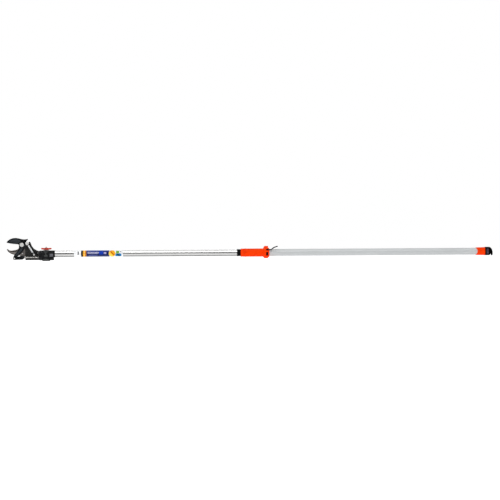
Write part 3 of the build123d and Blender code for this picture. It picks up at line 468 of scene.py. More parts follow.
def weld(made, distance=1e-7):
    mesh = bmesh.new()
    mesh.from_mesh(made.data)
    bmesh.ops.remove_doubles(mesh, verts=mesh.verts, dist=distance)
    bmesh.ops.dissolve_degenerate(mesh, edges=mesh.edges, dist=distance)
    mesh.to_mesh(made.data)
    mesh.free()
    shade(made)


def swept(name, route, radius, materials, sides=16):
    """Round bar along a route of points, with rounded ends."""
    points = [Vector(p) for p in route]
    side = (points[1] - points[0]).normalized().orthogonal().normalized()
    rings = []
    for before, p, after in zip(points[:1] + points, points, points[1:] + points[-1:]):
        direction = (after - before).normalized()
        side = (side - direction * side.dot(direction)).normalized()
        rings.append((p, direction, side, radius))

    def dome(ring, sign):
        p, direction, side, r = ring
        return [(p + direction * sign * r * 0.5 * math.sin(angle), direction, side, r * math.cos(angle))
                for angle in (math.pi / 2 * k / 3.2 for k in (1, 2, 3))]

    rings = dome(rings[0], -1)[::-1] + rings + dome(rings[-1], 1)
    verts = [p + spoke(angle, side, direction.cross(side)) * r
             for p, direction, side, r in rings for angle in turned(sides)]
    faces = []
    for row in range(len(rings) - 1):
        faces += band_faces(row * sides, (row + 1) * sides, sides)
    last = len(verts) - 1
    faces += [tuple(range(sides)), tuple(range(last, last - sides, -1))]
    return piece(name, verts, faces, materials)


def smooth_route(points, reach, steps=8):
    """3-D route whose corners become short curves of the given reach."""
    points = [Vector(p) for p in points]
    out = points[:1]
    for before, p, after in zip(points, points[1:], points[2:]):
        near = min(reach, (before - p).length * 0.48, (after - p).length * 0.48)
        out += bend(before, p, after, near, steps)
    return out + points[-1:]


def front_loops(node, y):
    """Outline and hole loops of a CAD node's flat face at depth y, as lists of (x, z)."""
    mesh = bmesh.new()
    mesh.from_mesh(NODES[node].data)
    bmesh.ops.remove_doubles(mesh, verts=mesh.verts, dist=1e-7)
    flat = {f for f in mesh.faces if all(abs(v.co.y - y) < 2e-5 for v in f.verts)}
    follow = {}
    for face in flat:
        for loop in face.loops:
            if sum(1 for f in loop.edge.link_faces if f in flat) == 1:
                follow[loop.vert] = loop.link_loop_next.vert
    loops = []
    while follow:
        start, here = next(iter(follow.items()))
        ring = [start]
        del follow[start]
        while here in follow:
            ring.append(here)
            here = follow.pop(here)
        loops.append([(v.co.x, v.co.z) for v in ring])
    mesh.free()
    loops.sort(key=lambda ring: -abs(area(ring)))
    return loops


def area(ring):
    return sum(a[0] * b[1] - b[0] * a[1] for a, b in zip(ring, ring[1:] + ring[:1])) / 2


def resampled(ring, step, corner=28):
    """Ring with even spacing between the corners that it keeps."""
    if area(ring) < 0:
        ring = ring[::-1]
    points = [Vector(p) for p in ring]
    count = len(points)
    keep = []
    for i, p in enumerate(points):
        a, b = p - points[i - 1], points[(i + 1) % count] - p
        if a.length > 1e-9 and b.length > 1e-9 and math.degrees(a.angle(b)) > corner:
            keep.append(i)
    keep = keep or [0]
    out = []
    for n, start in enumerate(keep):
        end = keep[(n + 1) % len(keep)]
        if end <= start:
            end += count
        run = [points[k % count] for k in range(start, end + 1)]
        lengths = [(b - a).length for a, b in zip(run, run[1:])]
        total = sum(lengths)
        pieces = max(1, round(total / step))
        for k in range(pieces):
            target = total * k / pieces
            for a, b, length in zip(run, run[1:], lengths):
                if target <= length or b is run[-1]:
                    out.append(tuple(a.lerp(b, min(1.0, target / max(length, 1e-12)))))
                    break
                target -= length
    return out


def inset(ring, widths):
    """Counter-clockwise ring moved inward by a width per point."""
    count = len(ring)
    out = []
    for i in range(count):
        p = Vector(ring[i])
        a = (p - Vector(ring[i - 1])).normalized()
        b = (Vector(ring[(i + 1) % count]) - p).normalized()
        normal = (Vector((-a.y, a.x)) + Vector((-b.y, b.x)))
        normal = normal.normalized() if normal.length > 1e-6 else Vector((-b.y, b.x))
        grow = 1 / max(0.55, normal.dot(Vector((-b.y, b.x))))
        width = widths[i] if isinstance(widths, list) else widths
        out.append(tuple(p + normal * width * grow))
    return out


def plate(name, outline, y_back, y_front, materials, chamfer=0.0005, holes=(), panels=(), edge=None,
          edge_drop=0.55):
    """Flat plate facing -Y. edge gives a ground width per outline point; panels are (ring, depth,
    slope, slot) hollows in the front face."""
    verts = []
    faces = []
    slots = []

    def add(ring, depth):
        start = len(verts)
        depths = depth if isinstance(depth, list) else [depth] * len(ring)
        verts.extend((x, y, z) for (x, z), y in zip(ring, depths))
        return list(range(start, start + len(ring)))

    def wall(first, second, slot=0, flags=None):
        count = len(first)
        for k in range(count):
            n = (k + 1) % count
            faces.append((first[k], first[n], second[n], second[k]))
            slots.append(slot if flags is None or not (flags[k] or flags[n]) else 1)

    def cap(rings, slot, flip):
        flat = [i for ring in rings for i in ring]
        for tri in tessellate_polygon([[Vector(verts[i]) for i in ring] for ring in rings]):
            order = tuple(flat[i] for i in tri)
            faces.append(order[::-1] if flip else order)
            slots.append(slot)

    widths = edge or [0.0] * len(outline)
    total = [max(chamfer, w) for w in widths]
    drop = [max(chamfer, w * edge_drop) if w > chamfer else chamfer for w in widths]
    thick = y_back - y_front
    drop = [min(d, thick * 0.82) for d in drop]
    back = add(inset(outline, chamfer), y_back)
    rim_back = add(outline, y_back - chamfer)
    rim_front = add(outline, [y_front + d for d in drop])
    front = add(inset(outline, total), y_front)
    wall(back, rim_back)
    wall(rim_back, rim_front)
    wall(rim_front, front, 0, [w > 0.0009 for w in widths])
    back_rings = [back]
    front_rings = [front]
    for ring in holes:
        ring = ring if area(ring) > 0 else ring[::-1]
        top = add(inset(ring, -chamfer), y_front)
        mid = add(ring, y_front + chamfer)
        low = add(ring, y_back)
        wall(top, mid)
        wall(mid, low)
        front_rings.append(top)
        back_rings.append(low)
    for ring, depth, slope, slot in panels:
        top = add(ring, y_front)
        floor = add(inset(ring, slope), y_front + depth)
        wall(top, floor, slot)
        front_rings.append(top)
        cap([floor], slot, True)
    cap(front_rings, 0, True)
    cap(back_rings, 0, False)
    return piece(name, verts, faces, materials, slots)


def merged_copy(nodes, extras=()):
    """One mesh object with copies of CAD nodes and of further pieces, which are used up."""
    mesh = bmesh.new()
    for node in nodes:
        mesh.from_mesh(NODES[node].data)
    for extra in extras:
        mesh.from_mesh(extra.data)
        bpy.data.objects.remove(extra)
    bmesh.ops.remove_doubles(mesh, verts=mesh.verts, dist=1e-7)
    data = bpy.data.meshes.new("merged")
    mesh.to_mesh(data)
    mesh.free()
    made = bpy.data.objects.new("merged", data)
    bpy.context.scene.collection.objects.link(made)
    return made


def apply_modifiers(made):
    graph = bpy.context.evaluated_depsgraph_get()
    made.data = bpy.data.meshes.new_from_object(made.evaluated_get(graph))
    made.modifiers.clear()


def cut(made, cutters):
    """Take cutter pieces away from a mesh, and use them up."""
    for tool in cutters:
        step = made.modifiers.new("cut", "BOOLEAN")
        step.operation = "DIFFERENCE"
        step.solver = "EXACT"
        step.object = tool
        apply_modifiers(made)
        bpy.data.objects.remove(tool)


def moulded(name, made, voxel, material, smoothing=4, keep=1.0, cutters=()):
    """Remesh a merged solid so that its edges and corners turn into small moulded radii."""
    cut(made, cutters)
    step = made.modifiers.new("remesh", "REMESH")
    step.mode = "VOXEL"
    step.voxel_size = voxel
    step = made.modifiers.new("smooth", "SMOOTH")
    step.factor = 0.5
    step.iterations = smoothing
    if keep < 1.0:
        step = made.modifiers.new("thin", "DECIMATE")
        step.ratio = keep
    apply_modifiers(made)
    made.name = name
    made.data.name = name
    made.data.materials.clear()
    made.data.materials.append(material)
    for polygon in made.data.polygons:
        polygon.material_index = 0
    shade(made, 60)
    return made


def block(low, high, turn=0.0, about=AXIS_Z):
    """Plain block, used only as raw material for moulded pieces and cuts."""
    low, high = Vector(low), Vector(high)
    middle = (low + high) / 2
    half = (high - low) / 2
    spin = Matrix.Rotation(turn, 3, about)
    verts = [middle + spin @ Vector((x * half.x, y * half.y, z * half.z))
             for x in (-1, 1) for y in (-1, 1) for z in (-1, 1)]
    faces = [(0, 1, 3, 2), (4, 6, 7, 5), (0, 4, 5, 1), (2, 3, 7, 6), (0, 2, 6, 4), (1, 5, 7, 3)]
    return piece("raw", verts, faces, [])


def drum(origin, axis, length, radius, turns=64):
    """Plain round bar from origin along axis, raw material like block()."""
    return lathe("raw", [(0, 0), (0, radius), (length, radius), (length, 0)], [], origin, axis, turns)


def prism(ring, y_back, y_front):
    """Raw plate from an (x, z) ring."""
    ring = ring if area(ring) > 0 else ring[::-1]
    count = len(ring)
    verts = [(x, y, z) for y in (y_back, y_front) for x, z in ring]
    faces = band_faces(0, count, count)
    for tri in tessellate_polygon([[Vector((x, 0, z)) for x, z in ring]]):
        faces += [tuple(tri), tuple(count + i for i in reversed(tri))]
    return piece("raw", verts, faces, [])


def window(left, bottom, right, top, corner):
    """Ring of a rectangle in X and Z with rounded corners."""
    return rounded([(left, bottom), (right, bottom), (right, top), (left, top)], corner)


def inlay(name, ring, y_back, y_front, material, bevel, segments, *owner):
    """Flat plate with softened edges, set in a window."""
    made = prism(ring, y_back, y_front)
    made.name = name
    made.data.materials.append(material)
    step = made.modifiers.new("edge", "BEVEL")
    step.width = bevel
    step.segments = segments
    step.limit_method = "ANGLE"
    apply_modifiers(made)
    shade(made)
    hand_over(made, *owner)


def at_pivot(x, z):
    """(x, z) of the row frame for millimetres measured from the blade pivot."""
    return (PIVOT.x + x * MM, PIVOT.z + z * MM)


def pivot_ring(points, radius=0.0):
    ring = [at_pivot(x, z) for x, z in points]
    ring = ring if area(ring) > 0 else ring[::-1]
    return rounded(ring, radius) if radius else ring


# ---------------------------------------------------------------------------------------------
# Cutting head
# ---------------------------------------------------------------------------------------------

def ground_widths(outline, width, ramp):
    """Width of the ground edge at each outline point, from millimetres off the pivot."""
    return [width * max(0.0, ramp((x - PIVOT.x) / MM, (z - PIVOT.z) / MM)) for x, z in outline]


def stamped(name, node, materials, body, slot, step=0.0012, hole_step=0.0008, chamfer=0.0006, panels=(),
            ground=None, edge_drop=0.55):
    """A flat CAD node as a plate with chamfers, hollows and, if asked, a ground edge."""
    low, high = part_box(node)
    outline, *holes = front_loops(node, low.y)
    outline = resampled(outline, step)
    made = plate(name, outline, high.y, low.y, materials, chamfer=chamfer,
                 holes=[resampled(hole, hole_step) for hole in holes],
                 panels=[(resampled(ring, step), *rest) for ring, *rest in panels],
                 edge=ground_widths(outline, *ground) if ground else None, edge_drop=edge_drop)
    hand_over(made, body, slot, node)


def cutting_blade():
    def ramp(dx, dz):
        return min(1.0, (dx + 66) / 8, (-17 - dx) / 4) if dz < 12 else 0.0

    fuller = pivot_ring([(-60, 17.5), (-48, 24.0), (-26, 26.6), (-9, 22.5), (-3, 15.0), (-12, 10.5),
                         (-20, 9.0), (-42, 11.2), (-57, 13.8)], 0.004)
    arm = pivot_ring([(-4.5, -16.5), (6.0, -16.0), (0.5, -26.5), (-10, -37.5), (-22, -49.0),
                      (-27.5, -49.0), (-22, -38.5), (-11, -26.0)], 0.003)
    stamped("cutting_blade_ground", "cutting_blade", [BLADE_COAT, GROUND, BLADE_FLAT], "cutting_blade",
            "blade_coat", panels=[(fuller, 0.0005, 0.0012, 2), (arm, 0.0005, 0.001, 2)],
            ground=(0.0034, ramp))


def hook_blade():
    def ramp(dx, dz):
        return min(1.0, (-14 - dx) / 8, (dx + 69) / 6) if dz < -26 + 0.12 * (dx + 45) else 0.0

    groove = pivot_ring([(-57, -27.2), (-46, -28.8), (-34, -28.2), (-22, -24.5), (-20.5, -27.5),
                         (-33, -32.2), (-44, -33.2), (-53, -31.0)], 0.0015)
    stamped("hook_blade_ground", "hook_blade", [HOOK_STEEL, HOOK_BEVEL, HOOK_BEVEL], "upper_pole",
            "hook_steel", panels=[(groove, 0.0007, 0.0009, 2)], ground=(0.0042, ramp), edge_drop=0.5)


def drive_link():
    groove = pivot_ring([(-25, -59.5), (-2, -57.0), (-2, -60.2), (-25, -64.0)], 0.0014)
    stamped("drive_link_forged", "drive_link", [BLADE_COAT, BLADE_COAT], "drive_link", "blade_coat",
            hole_step=0.0006, chamfer=0.0009, panels=[(groove, 0.0008, 0.0006, 0)])


def round_head(name, node, body, shank_r, head_y, head_r, dimple=0.0, slot_angle=None, washer=None,
               material=ZINC):
    """Pin along Y with a domed head at its front, with a screwdriver slot or a peened dimple."""
    low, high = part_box(node)
    middle = (low + high) / 2
    height = head_y - low.y
    base = high.y - head_y
    top = high.y - low.y
    profile = [(0, 0), (0, shank_r * 0.82), (0.0006, shank_r), (base, shank_r)]
    if washer:
        profile += [(base, head_r), (base + washer, head_r)]
        base += washer
        head_r = head_r * 0.80
    shoulder = base + height * 0.15
    profile += [(base, head_r * 0.97), (shoulder, head_r)]
    for angle in (math.pi / 2 * k / 8 for k in range(1, 9)):
        profile.append((shoulder + (top - shoulder) * math.sin(angle) ** 0.9,
                        head_r * (0.42 + 0.58 * math.cos(angle) ** 0.75)))
    if dimple:
        profile += [(top, head_r * 0.36), (top - dimple, head_r * 0.24), (top - dimple, 0)]
    else:
        profile += [(top, 0)]
    made = lathe(name, profile, [material], (middle.x, high.y, middle.z), -AXIS_Y, 72)
    if slot_angle is not None:
        half = Vector((head_r * 1.1, 0, 0.0014))
        front = Vector((middle.x, low.y, middle.z))
        cut(made, [block(front - half - AXIS_Y * 0.001, front + half + AXIS_Y * 0.0022,
                         math.radians(slot_angle), AXIS_Y)])
        shade(made)
    hand_over(made, body, "zinc", node)


def hexagon(name, node, body, corner_r, axis, bore_r, chamfer=0.0006):
    """Hexagon nut or bolt head with chamfered corners, standing in its node's box."""
    low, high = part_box(node)
    middle = (low + high) / 2
    axis = Vector(axis)
    length = abs((high - low).dot(axis))
    start = middle - axis * length / 2
    ease = corner_r - chamfer * 1.8
    raw = lathe("raw", [(0, 0), (0, ease), (chamfer, corner_r), (length - chamfer, corner_r), (length, ease),
                        (length, 0)], [], start, axis, 96)
    flats = corner_r * math.cos(math.pi / 6)
    side = axis.orthogonal().normalized()
    for k in range(6):
        turned = Matrix.Rotation(math.pi / 3 * k, 3, axis) @ side
        tool = block(Vector((0, 0, 0)), Vector((1, 1, 1)))
        spin = turned.to_track_quat("X", "Z").to_matrix().to_4x4()
        for step in (Matrix.Translation((-0.5, -0.5, -0.5)), Matrix.Diagonal((0.01, 0.05, 0.05, 1)),
                     Matrix.Translation((flats + 0.005, 0, 0)), Matrix.Translation(middle) @ spin):
            tool.data.transform(step)
        cut(raw, [tool])
    cut(raw, [drum(start - axis * 0.001, axis, length + 0.002, bore_r, turns=48)])
    raw.name = name
    raw.data.materials.clear()
    raw.data.materials.append(ZINC)
    weld(raw)
    hand_over(raw, body, "zinc", node)


cutting_blade()
hook_blade()
drive_link()
blade_front, link_front, eyelet_front = (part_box(node)[0].y
                                         for node in ("cutting_blade", "drive_link", "spring_eyelet"))
round_head("pivot_bolt_slotted", "pivot_bolt", "upper_pole", 0.004, blade_front - 0.0001, 0.0096,
           slot_angle=-35, washer=0.0012)
round_head("link_pin_peened", "link_pin", "drive_link", 0.002, link_front, 0.0036, 0.0005)
round_head("rod_pin_peened", "rod_pin", "pull_rod", 0.0016, link_front - 0.0003, 0.0066, 0.0005,
           material=DARK_STEEL)
round_head("blade_spring_pin_peened", "blade_spring_pin", "cutting_blade", 0.002, eyelet_front - 0.0003,
           0.005, 0.0005)
round_head("spring_anchor_peened", "spring_anchor_pin", "upper_pole", 0.002, -0.008, 0.0032, 0.0004)
hexagon("pivot_nut_hex", "pivot_nut", "upper_pole", 0.0075, -AXIS_Y, bore_r=0.00405)


def head_frame():
    """Cast frame: the CAD casting with added ribs, bosses and a lightening recess."""
    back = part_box("head_frame")[1].y
    root = back - 0.002
    foot_x, foot_z = at_pivot(56.5, -45.5)
    extras = []
    for x, z, radius, reach in ((56.5, -45.5, 5.0, 3.0), (70.0, -40.0, 3.4, 2.6), (66.5, -33.5, 3.0, 4.8)):
        px, pz = at_pivot(x, z)
        extras.append(drum((px, root, pz), -AXIS_Y, root + reach * MM, radius * MM))
    ribs = [[(18.6, -3.2), (28.4, -1.6), (28.0, -4.2), (18.6, -5.8)],
            [(58.0, -50.5), (75.0, -35.0), (77.0, -37.0), (61.0, -51.5)],
            [(16.5, -50.0), (44.0, -50.0), (44.0, -47.8), (16.5, -47.8)]]
    extras += [prism(pivot_ring(ring), back - 0.003, 0.0006) for ring in ribs]
    recess = pivot_ring([(20, -24), (27, -14), (38, -35), (38, -44), (20, -44)], 0.004)
    cutters = [drum((foot_x, back + 0.001, foot_z), -AXIS_Y, 0.03, 0.00195),
               prism(recess, back + 0.001, back - 0.0022)]
    made = moulded("head_frame_casting", merged_copy(["head_frame"], extras), 0.00052, CASTING, smoothing=3,
                   keep=0.55, cutters=cutters)
    hand_over(made, "upper_pole", "frame_casting", "head_frame")


head_frame()


def return_spring():
    """Close-wound extension spring with a hooked neck at each end."""
    top, foot = centre("blade_spring_pin"), centre("spring_anchor_pin")
    top.y = foot.y = centre("spring_eyelet").y
    axis = (foot - top).normalized()
    across = axis.cross(AXIS_Y).normalized()
    length = (foot - top).length
    wire, coil_r, loop_r, hook = 0.00075, 0.0033, 0.0029, 0.0035
    start, end = 0.0125, length - 0.0125
    turns = 26
    steps = 20
    route = []
    for angle in (math.pi * (1.15 - 1.15 * k / 8) for k in range(9)):
        route.append(top + axis * (start - 0.0042 - 0.0012 * math.cos(angle))
                     + across * 0.00132 * math.sin(angle))
    route.append(top + axis * (start - 0.0012))
    for share in (k / (turns * steps) for k in range(turns * steps + 1)):
        swell = min(1.0, 0.15 + share * turns * 1.2, 0.15 + (1 - share) * turns * 1.2)
        route.append(top + axis * (start + (end - start) * share)
                     + spoke(2 * math.pi * turns * share, across, AXIS_Y) * coil_r * swell)
    route.append(top + axis * (end + (length - loop_r - end) * 0.5))
    for share in (k / 27 for k in range(28)):
        turn = spoke(2 * math.pi * 0.93 * share, -axis, across)
        route.append(foot + turn * loop_r + AXIS_Y * (0.0006 - 0.0012 * share))
    made = swept("return_spring_coil", route, wire, [SPRING_WIRE], sides=10)
    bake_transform(made)
    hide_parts("return_spring")


def spring_eyelet():
    stamped("spring_eyelet_stamped", "spring_eyelet", [ZINC], "spring_tip", "spring_steel", step=0.0009,
            hole_step=0.0006, chamfer=0.0004)


return_spring()
spring_eyelet()


# ---------------------------------------------------------------------------------------------
# Housing and accessory clamp
# ---------------------------------------------------------------------------------------------

def inlay_window(margin, corner):
    """Ring round the grey inlay in the housing's side, inset by a margin."""
    left = STUD.x + 0.0169 + margin
    return window(left, -0.0126 + margin, STUD.x + 0.0326 - margin, 0.0001 - margin, corner)


def housing():
    """Both halves as one moulded shell with clamp ears, a window rim and a foot rim."""
    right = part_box("upper_pole_tube")[0].x
    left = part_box("housing_front")[0].x
    extras = [block((right - 0.0062, -0.0148, z_low), (right - 0.0004, 0.0148, z_high))
              for z_low, z_high in ((0.0096, 0.0150), (-0.0158, -0.0100))]
    cutters = []
    ledge = [(left + 0.0022, -0.0215), (left + 0.0102, -0.0215), (left + 0.0122, 0.0085),
             (left + 0.0022, 0.0085)]
    for side in (1, -1):
        extras.append(prism(inlay_window(-0.0014, 0.0012), side * 0.0158, side * 0.0120))
        cutters.append(prism(inlay_window(-0.0002, 0.0010), side * 0.0170, side * 0.0151))
        cutters.append(prism(rounded(ledge, 0.0012), side * 0.0170, side * 0.0122))
    made = moulded("housing_shell", merged_copy(["housing_front", "housing_rear"], extras), 0.0005, HOUSING,
                   smoothing=3, keep=0.5, cutters=cutters)
    hand_over(made, "upper_pole", "black_nylon", "housing_front", "housing_rear")


def housing_barrel():
    """Upright barrel of the clamp: flutes down the column and a ribbed, flared foot."""
    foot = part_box("housing_front")[0].z
    x = STUD.x - 0.001
    profile = [(foot, 0), (foot, 0.0160), (foot + 0.0006, 0.0168), (foot + 0.0036, 0.0196),
               (foot + 0.0046, 0.0199), (foot + 0.0074, 0.0199), (foot + 0.0084, 0.0195)]
    steps = 16
    for k in range(steps + 1):
        t = k / steps
        profile.append((-0.0240 + t * 0.0125, 0.0192 - 0.0034 * math.sin(t * math.pi / 2)))
    profile += [(0.0138, 0.0156), (0.0150, 0.0152), (0.0164, 0.0140), (0.0166, 0.0136), (0.0166, 0)]
    turns = 288
    made = lathe("housing_barrel_fluted", profile, [BARREL], (x, 0, 0), AXIS_Z, turns)
    for vertex in made.data.vertices:
        across = Vector((vertex.co.x - x, vertex.co.y))
        if -0.0285 < vertex.co.z < 0.0145 and across.length > 0.012:
            wave = math.cos(18 * math.atan2(across.y, across.x))
            if vertex.co.z > -0.0255:
                across *= 1 - 0.00045 * max(0.0, wave) ** 3 / across.length
            vertex.co.x = x + across.x
            vertex.co.y = across.y
    # the pull rod and its block travel through here
    low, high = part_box("drive_block")
    gap = 0.0006
    cut(made, [block((x - 0.03, low.y - gap, low.z - gap), (x + 0.03, high.y + gap, high.z + gap))])
    shade(made)
    hand_over(made, "upper_pole", "black_nylon", "housing_front")


def housing_window():
    """Smooth grey inlay in the framed window on each side of the housing."""
    for side, half in ((-1, "front"), (1, "rear")):
        inlay("housing_inlay_" + half, inlay_window(0.0, 0.0010), side * 0.0140, side * 0.01535,
              HOUSING_PANEL, 0.0003, 2, "upper_pole", "black_nylon", "housing_" + half)


def threaded_stud():
    """Stud with a real helical thread on its free end."""
    low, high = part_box("accessory_stud")
    x = STUD.x
    head_top = low.z + 0.003
    root, crest, pitch = 0.00345, 0.004, 0.00125
    start, end = high.z - 0.0085, high.z - 0.0006
    base = (x, 0, 0)
    shank = lathe("raw", [(low.z, 0), (low.z, 0.0066), (head_top, 0.0066), (head_top, crest), (start, crest),
                          (start, 0)], [], base, AXIS_Z, 48)
    turns = 36
    count = int((end - start) / pitch * turns) + 1 + turns
    verts = []
    for share in (row / turns for row in range(count)):
        foot = start + pitch * (share - 1)
        fade = min(1.0, max(0.0, (end - foot) / pitch * 1.2))
        for offset, radius in ((0.0, root), (0.32, root), (0.5, crest), (0.68, crest), (0.999, root)):
            z = min(max(foot + offset * pitch, start - 0.0004), end)
            verts.append(Vector((x, 0, z)) + spoke(2 * math.pi * share, AXIS_X, AXIS_Y)
                         * (root + (radius - root) * fade))
    faces = [(a, a + 1, a + 6, a + 5) for row in range(count - 1) for a in range(row * 5, row * 5 + 4)]
    thread = piece("raw_thread", verts, faces, [])
    tip = lathe("raw_tip", [(start, 0), (start, root), (end, root), (end + 0.0001, crest - 0.0003),
                            (high.z - 0.0001, 0.0028), (high.z, 0.0024), (high.z, 0)], [], base, AXIS_Z, 48)
    joined = merged_copy([], [shank, thread, tip])
    joined.name = "accessory_stud_threaded"
    joined.data.materials.append(ZINC)
    shade(joined, 40)
    hand_over(joined, "upper_pole", "zinc", "accessory_stud")


def clamp_washer():
    low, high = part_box("clamp_washer")
    thick = high.z - low.z
    profile = rounded([(0, 0.0043), (0, 0.0095), (thick, 0.0095), (thick, 0.0043)], 0.0003)
    made = lathe("clamp_washer_stamped", profile, [ZINC], (STUD.x, 0, low.z), AXIS_Z, 72)
    hand_over(made, "upper_pole", "zinc", "clamp_washer")


def wing_nut():
    """Moulded wing nut: waisted hub and two wings that rise and thicken to rounded tips, in a darker orange
    that paints shade on it.
    """
    low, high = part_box("wing_nut")
    half_span = (high - low).x / 2
    turn = math.radians(14)
    hub = [(low.z, 0), (low.z, 0.0094), (low.z + 0.003, 0.0092), (high.z - 0.0034, 0.0084), (high.z, 0.0080),
           (high.z, 0)]
    extras = [lathe("raw", hub, [], (STUD.x, 0, 0), AXIS_Z, 72)]
    for side in (1, -1):
        ring = [(0.004, low.z + 0.0002), (0.0085, low.z + 0.0004), (0.0150, low.z + 0.0014),
                (half_span - 0.0020, high.z - 0.0066), (half_span, high.z - 0.0044),
                (half_span - 0.0006, high.z - 0.0004), (half_span - 0.004, high.z), (0.012, high.z - 0.0006),
                (0.004, high.z - 0.0010)]
        wing = prism(rounded([(side * x, z) for x, z in ring], 0.0012), 0.0025, -0.0025)
        for vertex in wing.data.vertices:
            reach = abs(vertex.co.x) / half_span
            vertex.co.y *= 0.72 + 0.55 * reach ** 2
        wing.data.transform(Matrix.Translation((STUD.x, 0, 0)) @ Matrix.Rotation(turn, 4, "Z"))
        extras.append(wing)
    made = moulded("wing_nut_moulded", merged_copy([], extras), 0.00035, NUT_ORANGE_PAINTED_SHADE, smoothing=4, keep=0.6)
    cut(made, [drum((STUD.x, 0, low.z - 0.001), AXIS_Z, 0.02, 0.00615)])
    shade(made, 50)
    hand_over(made, "wing_nut", "orange_plastic", "wing_nut")


housing()
housing_barrel()
housing_window()
threaded_stud()
clamp_washer()
wing_nut()
hexagon("wing_nut_insert_hex", "wing_nut_insert", "wing_nut", 0.0062, AXIS_Z, bore_r=0.00408, chamfer=0.0007)


# ---------------------------------------------------------------------------------------------
# Poles
# ---------------------------------------------------------------------------------------------

def grooved(angle, base, depth, half=0.0019):
    """Radius of a drawn tube with a round-bottomed groove along both sides."""
    away = abs(math.sin(angle)) * base
    shape = max(0.0, 1 - (away / half) ** 2)
    return base - depth * min(1.0, shape * 1.7)


def tube_skin(name, node, body, slot, material, groove=0.0, wall=0.0012):
    """Thin-walled tube with rolled ends and, if asked, a drawn groove along both sides."""
    low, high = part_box(node)
    count = 180
    roll = 0.0003
    rows = [(low.x, roll, 0.0), (low.x + roll, 0.0, 0.0), (high.x - roll, 0.0, 0.0), (high.x, roll, 0.0),
            (high.x, 0.0, wall), (low.x, 0.0, wall)]
    verts = [AXIS_X * x + spoke(angle) * (grooved(angle, high.z - ease, groove) - inset)
             for x, ease, inset in rows for angle in turned(count)]
    faces = []
    for row in range(len(rows)):
        faces += band_faces(row * count, (row + 1) % len(rows) * count, count)
    made = piece(name, verts, faces, [material])
    shade(made, 40)
    hand_over(made, body, slot, node)


tube_skin("upper_pole_drawn", "upper_pole_tube", "upper_pole", "bright_aluminium", UPPER_TUBE, groove=0.0007)
tube_skin("lower_pole_drawn", "lower_pole_tube", "lower_pole", "satin_aluminium", LOWER_TUBE, wall=0.0009)


def label():
    """Film wrapped round the upper pole, pressed down into the side grooves."""
    low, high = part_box("label_sleeve")
    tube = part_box("upper_pole_tube")[1].z
    count = 240
    # points crowd where the groove is
    angles = [turn - 0.42 * math.sin(2 * turn) for turn in turned(count)]
    verts = [AXIS_X * x + spoke(angle) * (grooved(angle, tube, 0.0006) + skin)
             for x in (low.x, high.x) for skin in (0.00014, 0.00002) for angle in angles]
    faces = []
    for first, second in ((0, 2), (1, 3), (0, 1), (2, 3)):
        faces += band_faces(first * count, second * count, count)
    made = piece("label_film_wrap", verts, faces, [LABEL])
    hand_over(made, "upper_pole", "label_film", "label_sleeve")


label()


# ---------------------------------------------------------------------------------------------
# Grip, length lock and mouth bush
# ---------------------------------------------------------------------------------------------

def mouth_bush():
    low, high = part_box("mouth_bush")
    bore = 0.01475
    outer = high.z
    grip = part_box("grip_sleeve")[0].x
    profile = [(low.x, bore + 0.0006), (low.x + 0.0006, bore), (high.x, bore), (high.x, 0.0157),
               (grip - 0.0002, 0.0157), (grip - 0.0012, 0.01585), (low.x + 0.0075, 0.01565),
               (low.x + 0.0055, 0.0159), (low.x + 0.0042, outer), (low.x + 0.0016, outer),
               (low.x, outer - 0.0009)]
    made = lathe("mouth_bush_moulded", rounded(profile, 0.0004, steps=3), [BLACK_NYLON])
    hand_over(made, "lower_pole", "black_nylon", "mouth_bush")


def grip():
    """Moulded grip: the CAD sleeve with softened windows, and in each side window a ribbed black pad, a dark
    piece that paints the shade inside the hollow.
    """
    made = moulded("grip_moulded", merged_copy(["grip_sleeve"]), 0.00045, ORANGE, smoothing=3, keep=0.4)
    hand_over(made, "lower_pole", "orange_plastic", "grip_sleeve")
    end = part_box("grip_sleeve")[1].x
    left, right = end - 0.0144, end - 0.0056
    # black pads in the windows: painted shade, a dark piece where the hollow is in shade
    for name, side in (("grip_shade_pad_front", -1), ("grip_shade_pad_rear", 1)):
        shade_pad = prism(window(left, -0.0137, right, 0.0017, 0.0008), side * 0.0192, side * 0.0216)
        shade_pad.name = name
        shade_pad.data.materials.append(BLACK_NYLON)
        deep, out = sorted((side * 0.0203, side * 0.0222))
        for k in range(4):
            z = -0.0120 + 0.0036 * k
            cut(shade_pad, [block((left - 0.005, deep, z - 0.0005), (right + 0.005, out, z + 0.0005))])
        weld(shade_pad)
        hand_over(shade_pad, "lower_pole", "orange_plastic", "grip_sleeve")


def lock_lever():
    """Bent wire bail with flattened eyes on its hinge pins."""
    hinge = centre("lever_pins")
    wire = 0.00245
    side = 0.0187
    leg = [(hinge.x + x * MM, hinge.z + z * MM)
           for x, z in ((-10.0, 0), (20.7, 0), (31.0, 8.7), (42.5, 13.1), (47.5, 14.1))]
    route = [(x, -side, z) for x, z in leg] + [(x, side, z) for x, z in reversed(leg)]
    ends = [(leg[0][0], y, leg[0][1]) for y in (-0.0134, 0.0134)]
    bar = swept("raw", smooth_route([ends[0]] + route + [ends[1]], 0.0046), wire, [], sides=20)
    eyes = [drum((hinge.x, y - 0.0021, hinge.z), AXIS_Y, 0.0042, 0.003, turns=32) for y in (-side, side)]
    made = moulded("lock_lever_wire", merged_copy([], [bar] + eyes), 0.0004, WIRE_BLACK, smoothing=2)
    hand_over(made, "lock_lever", "wire_black", "lock_lever")


mouth_bush()
grip()
lock_lever()


# ---------------------------------------------------------------------------------------------
# Hand end
# ---------------------------------------------------------------------------------------------

def end_collar():
    made = moulded("end_collar_moulded", merged_copy(["end_collar"]), 0.00045, ORANGE, smoothing=3, keep=0.5)
    hand_over(made, "lower_pole", "orange_plastic", "end_collar")


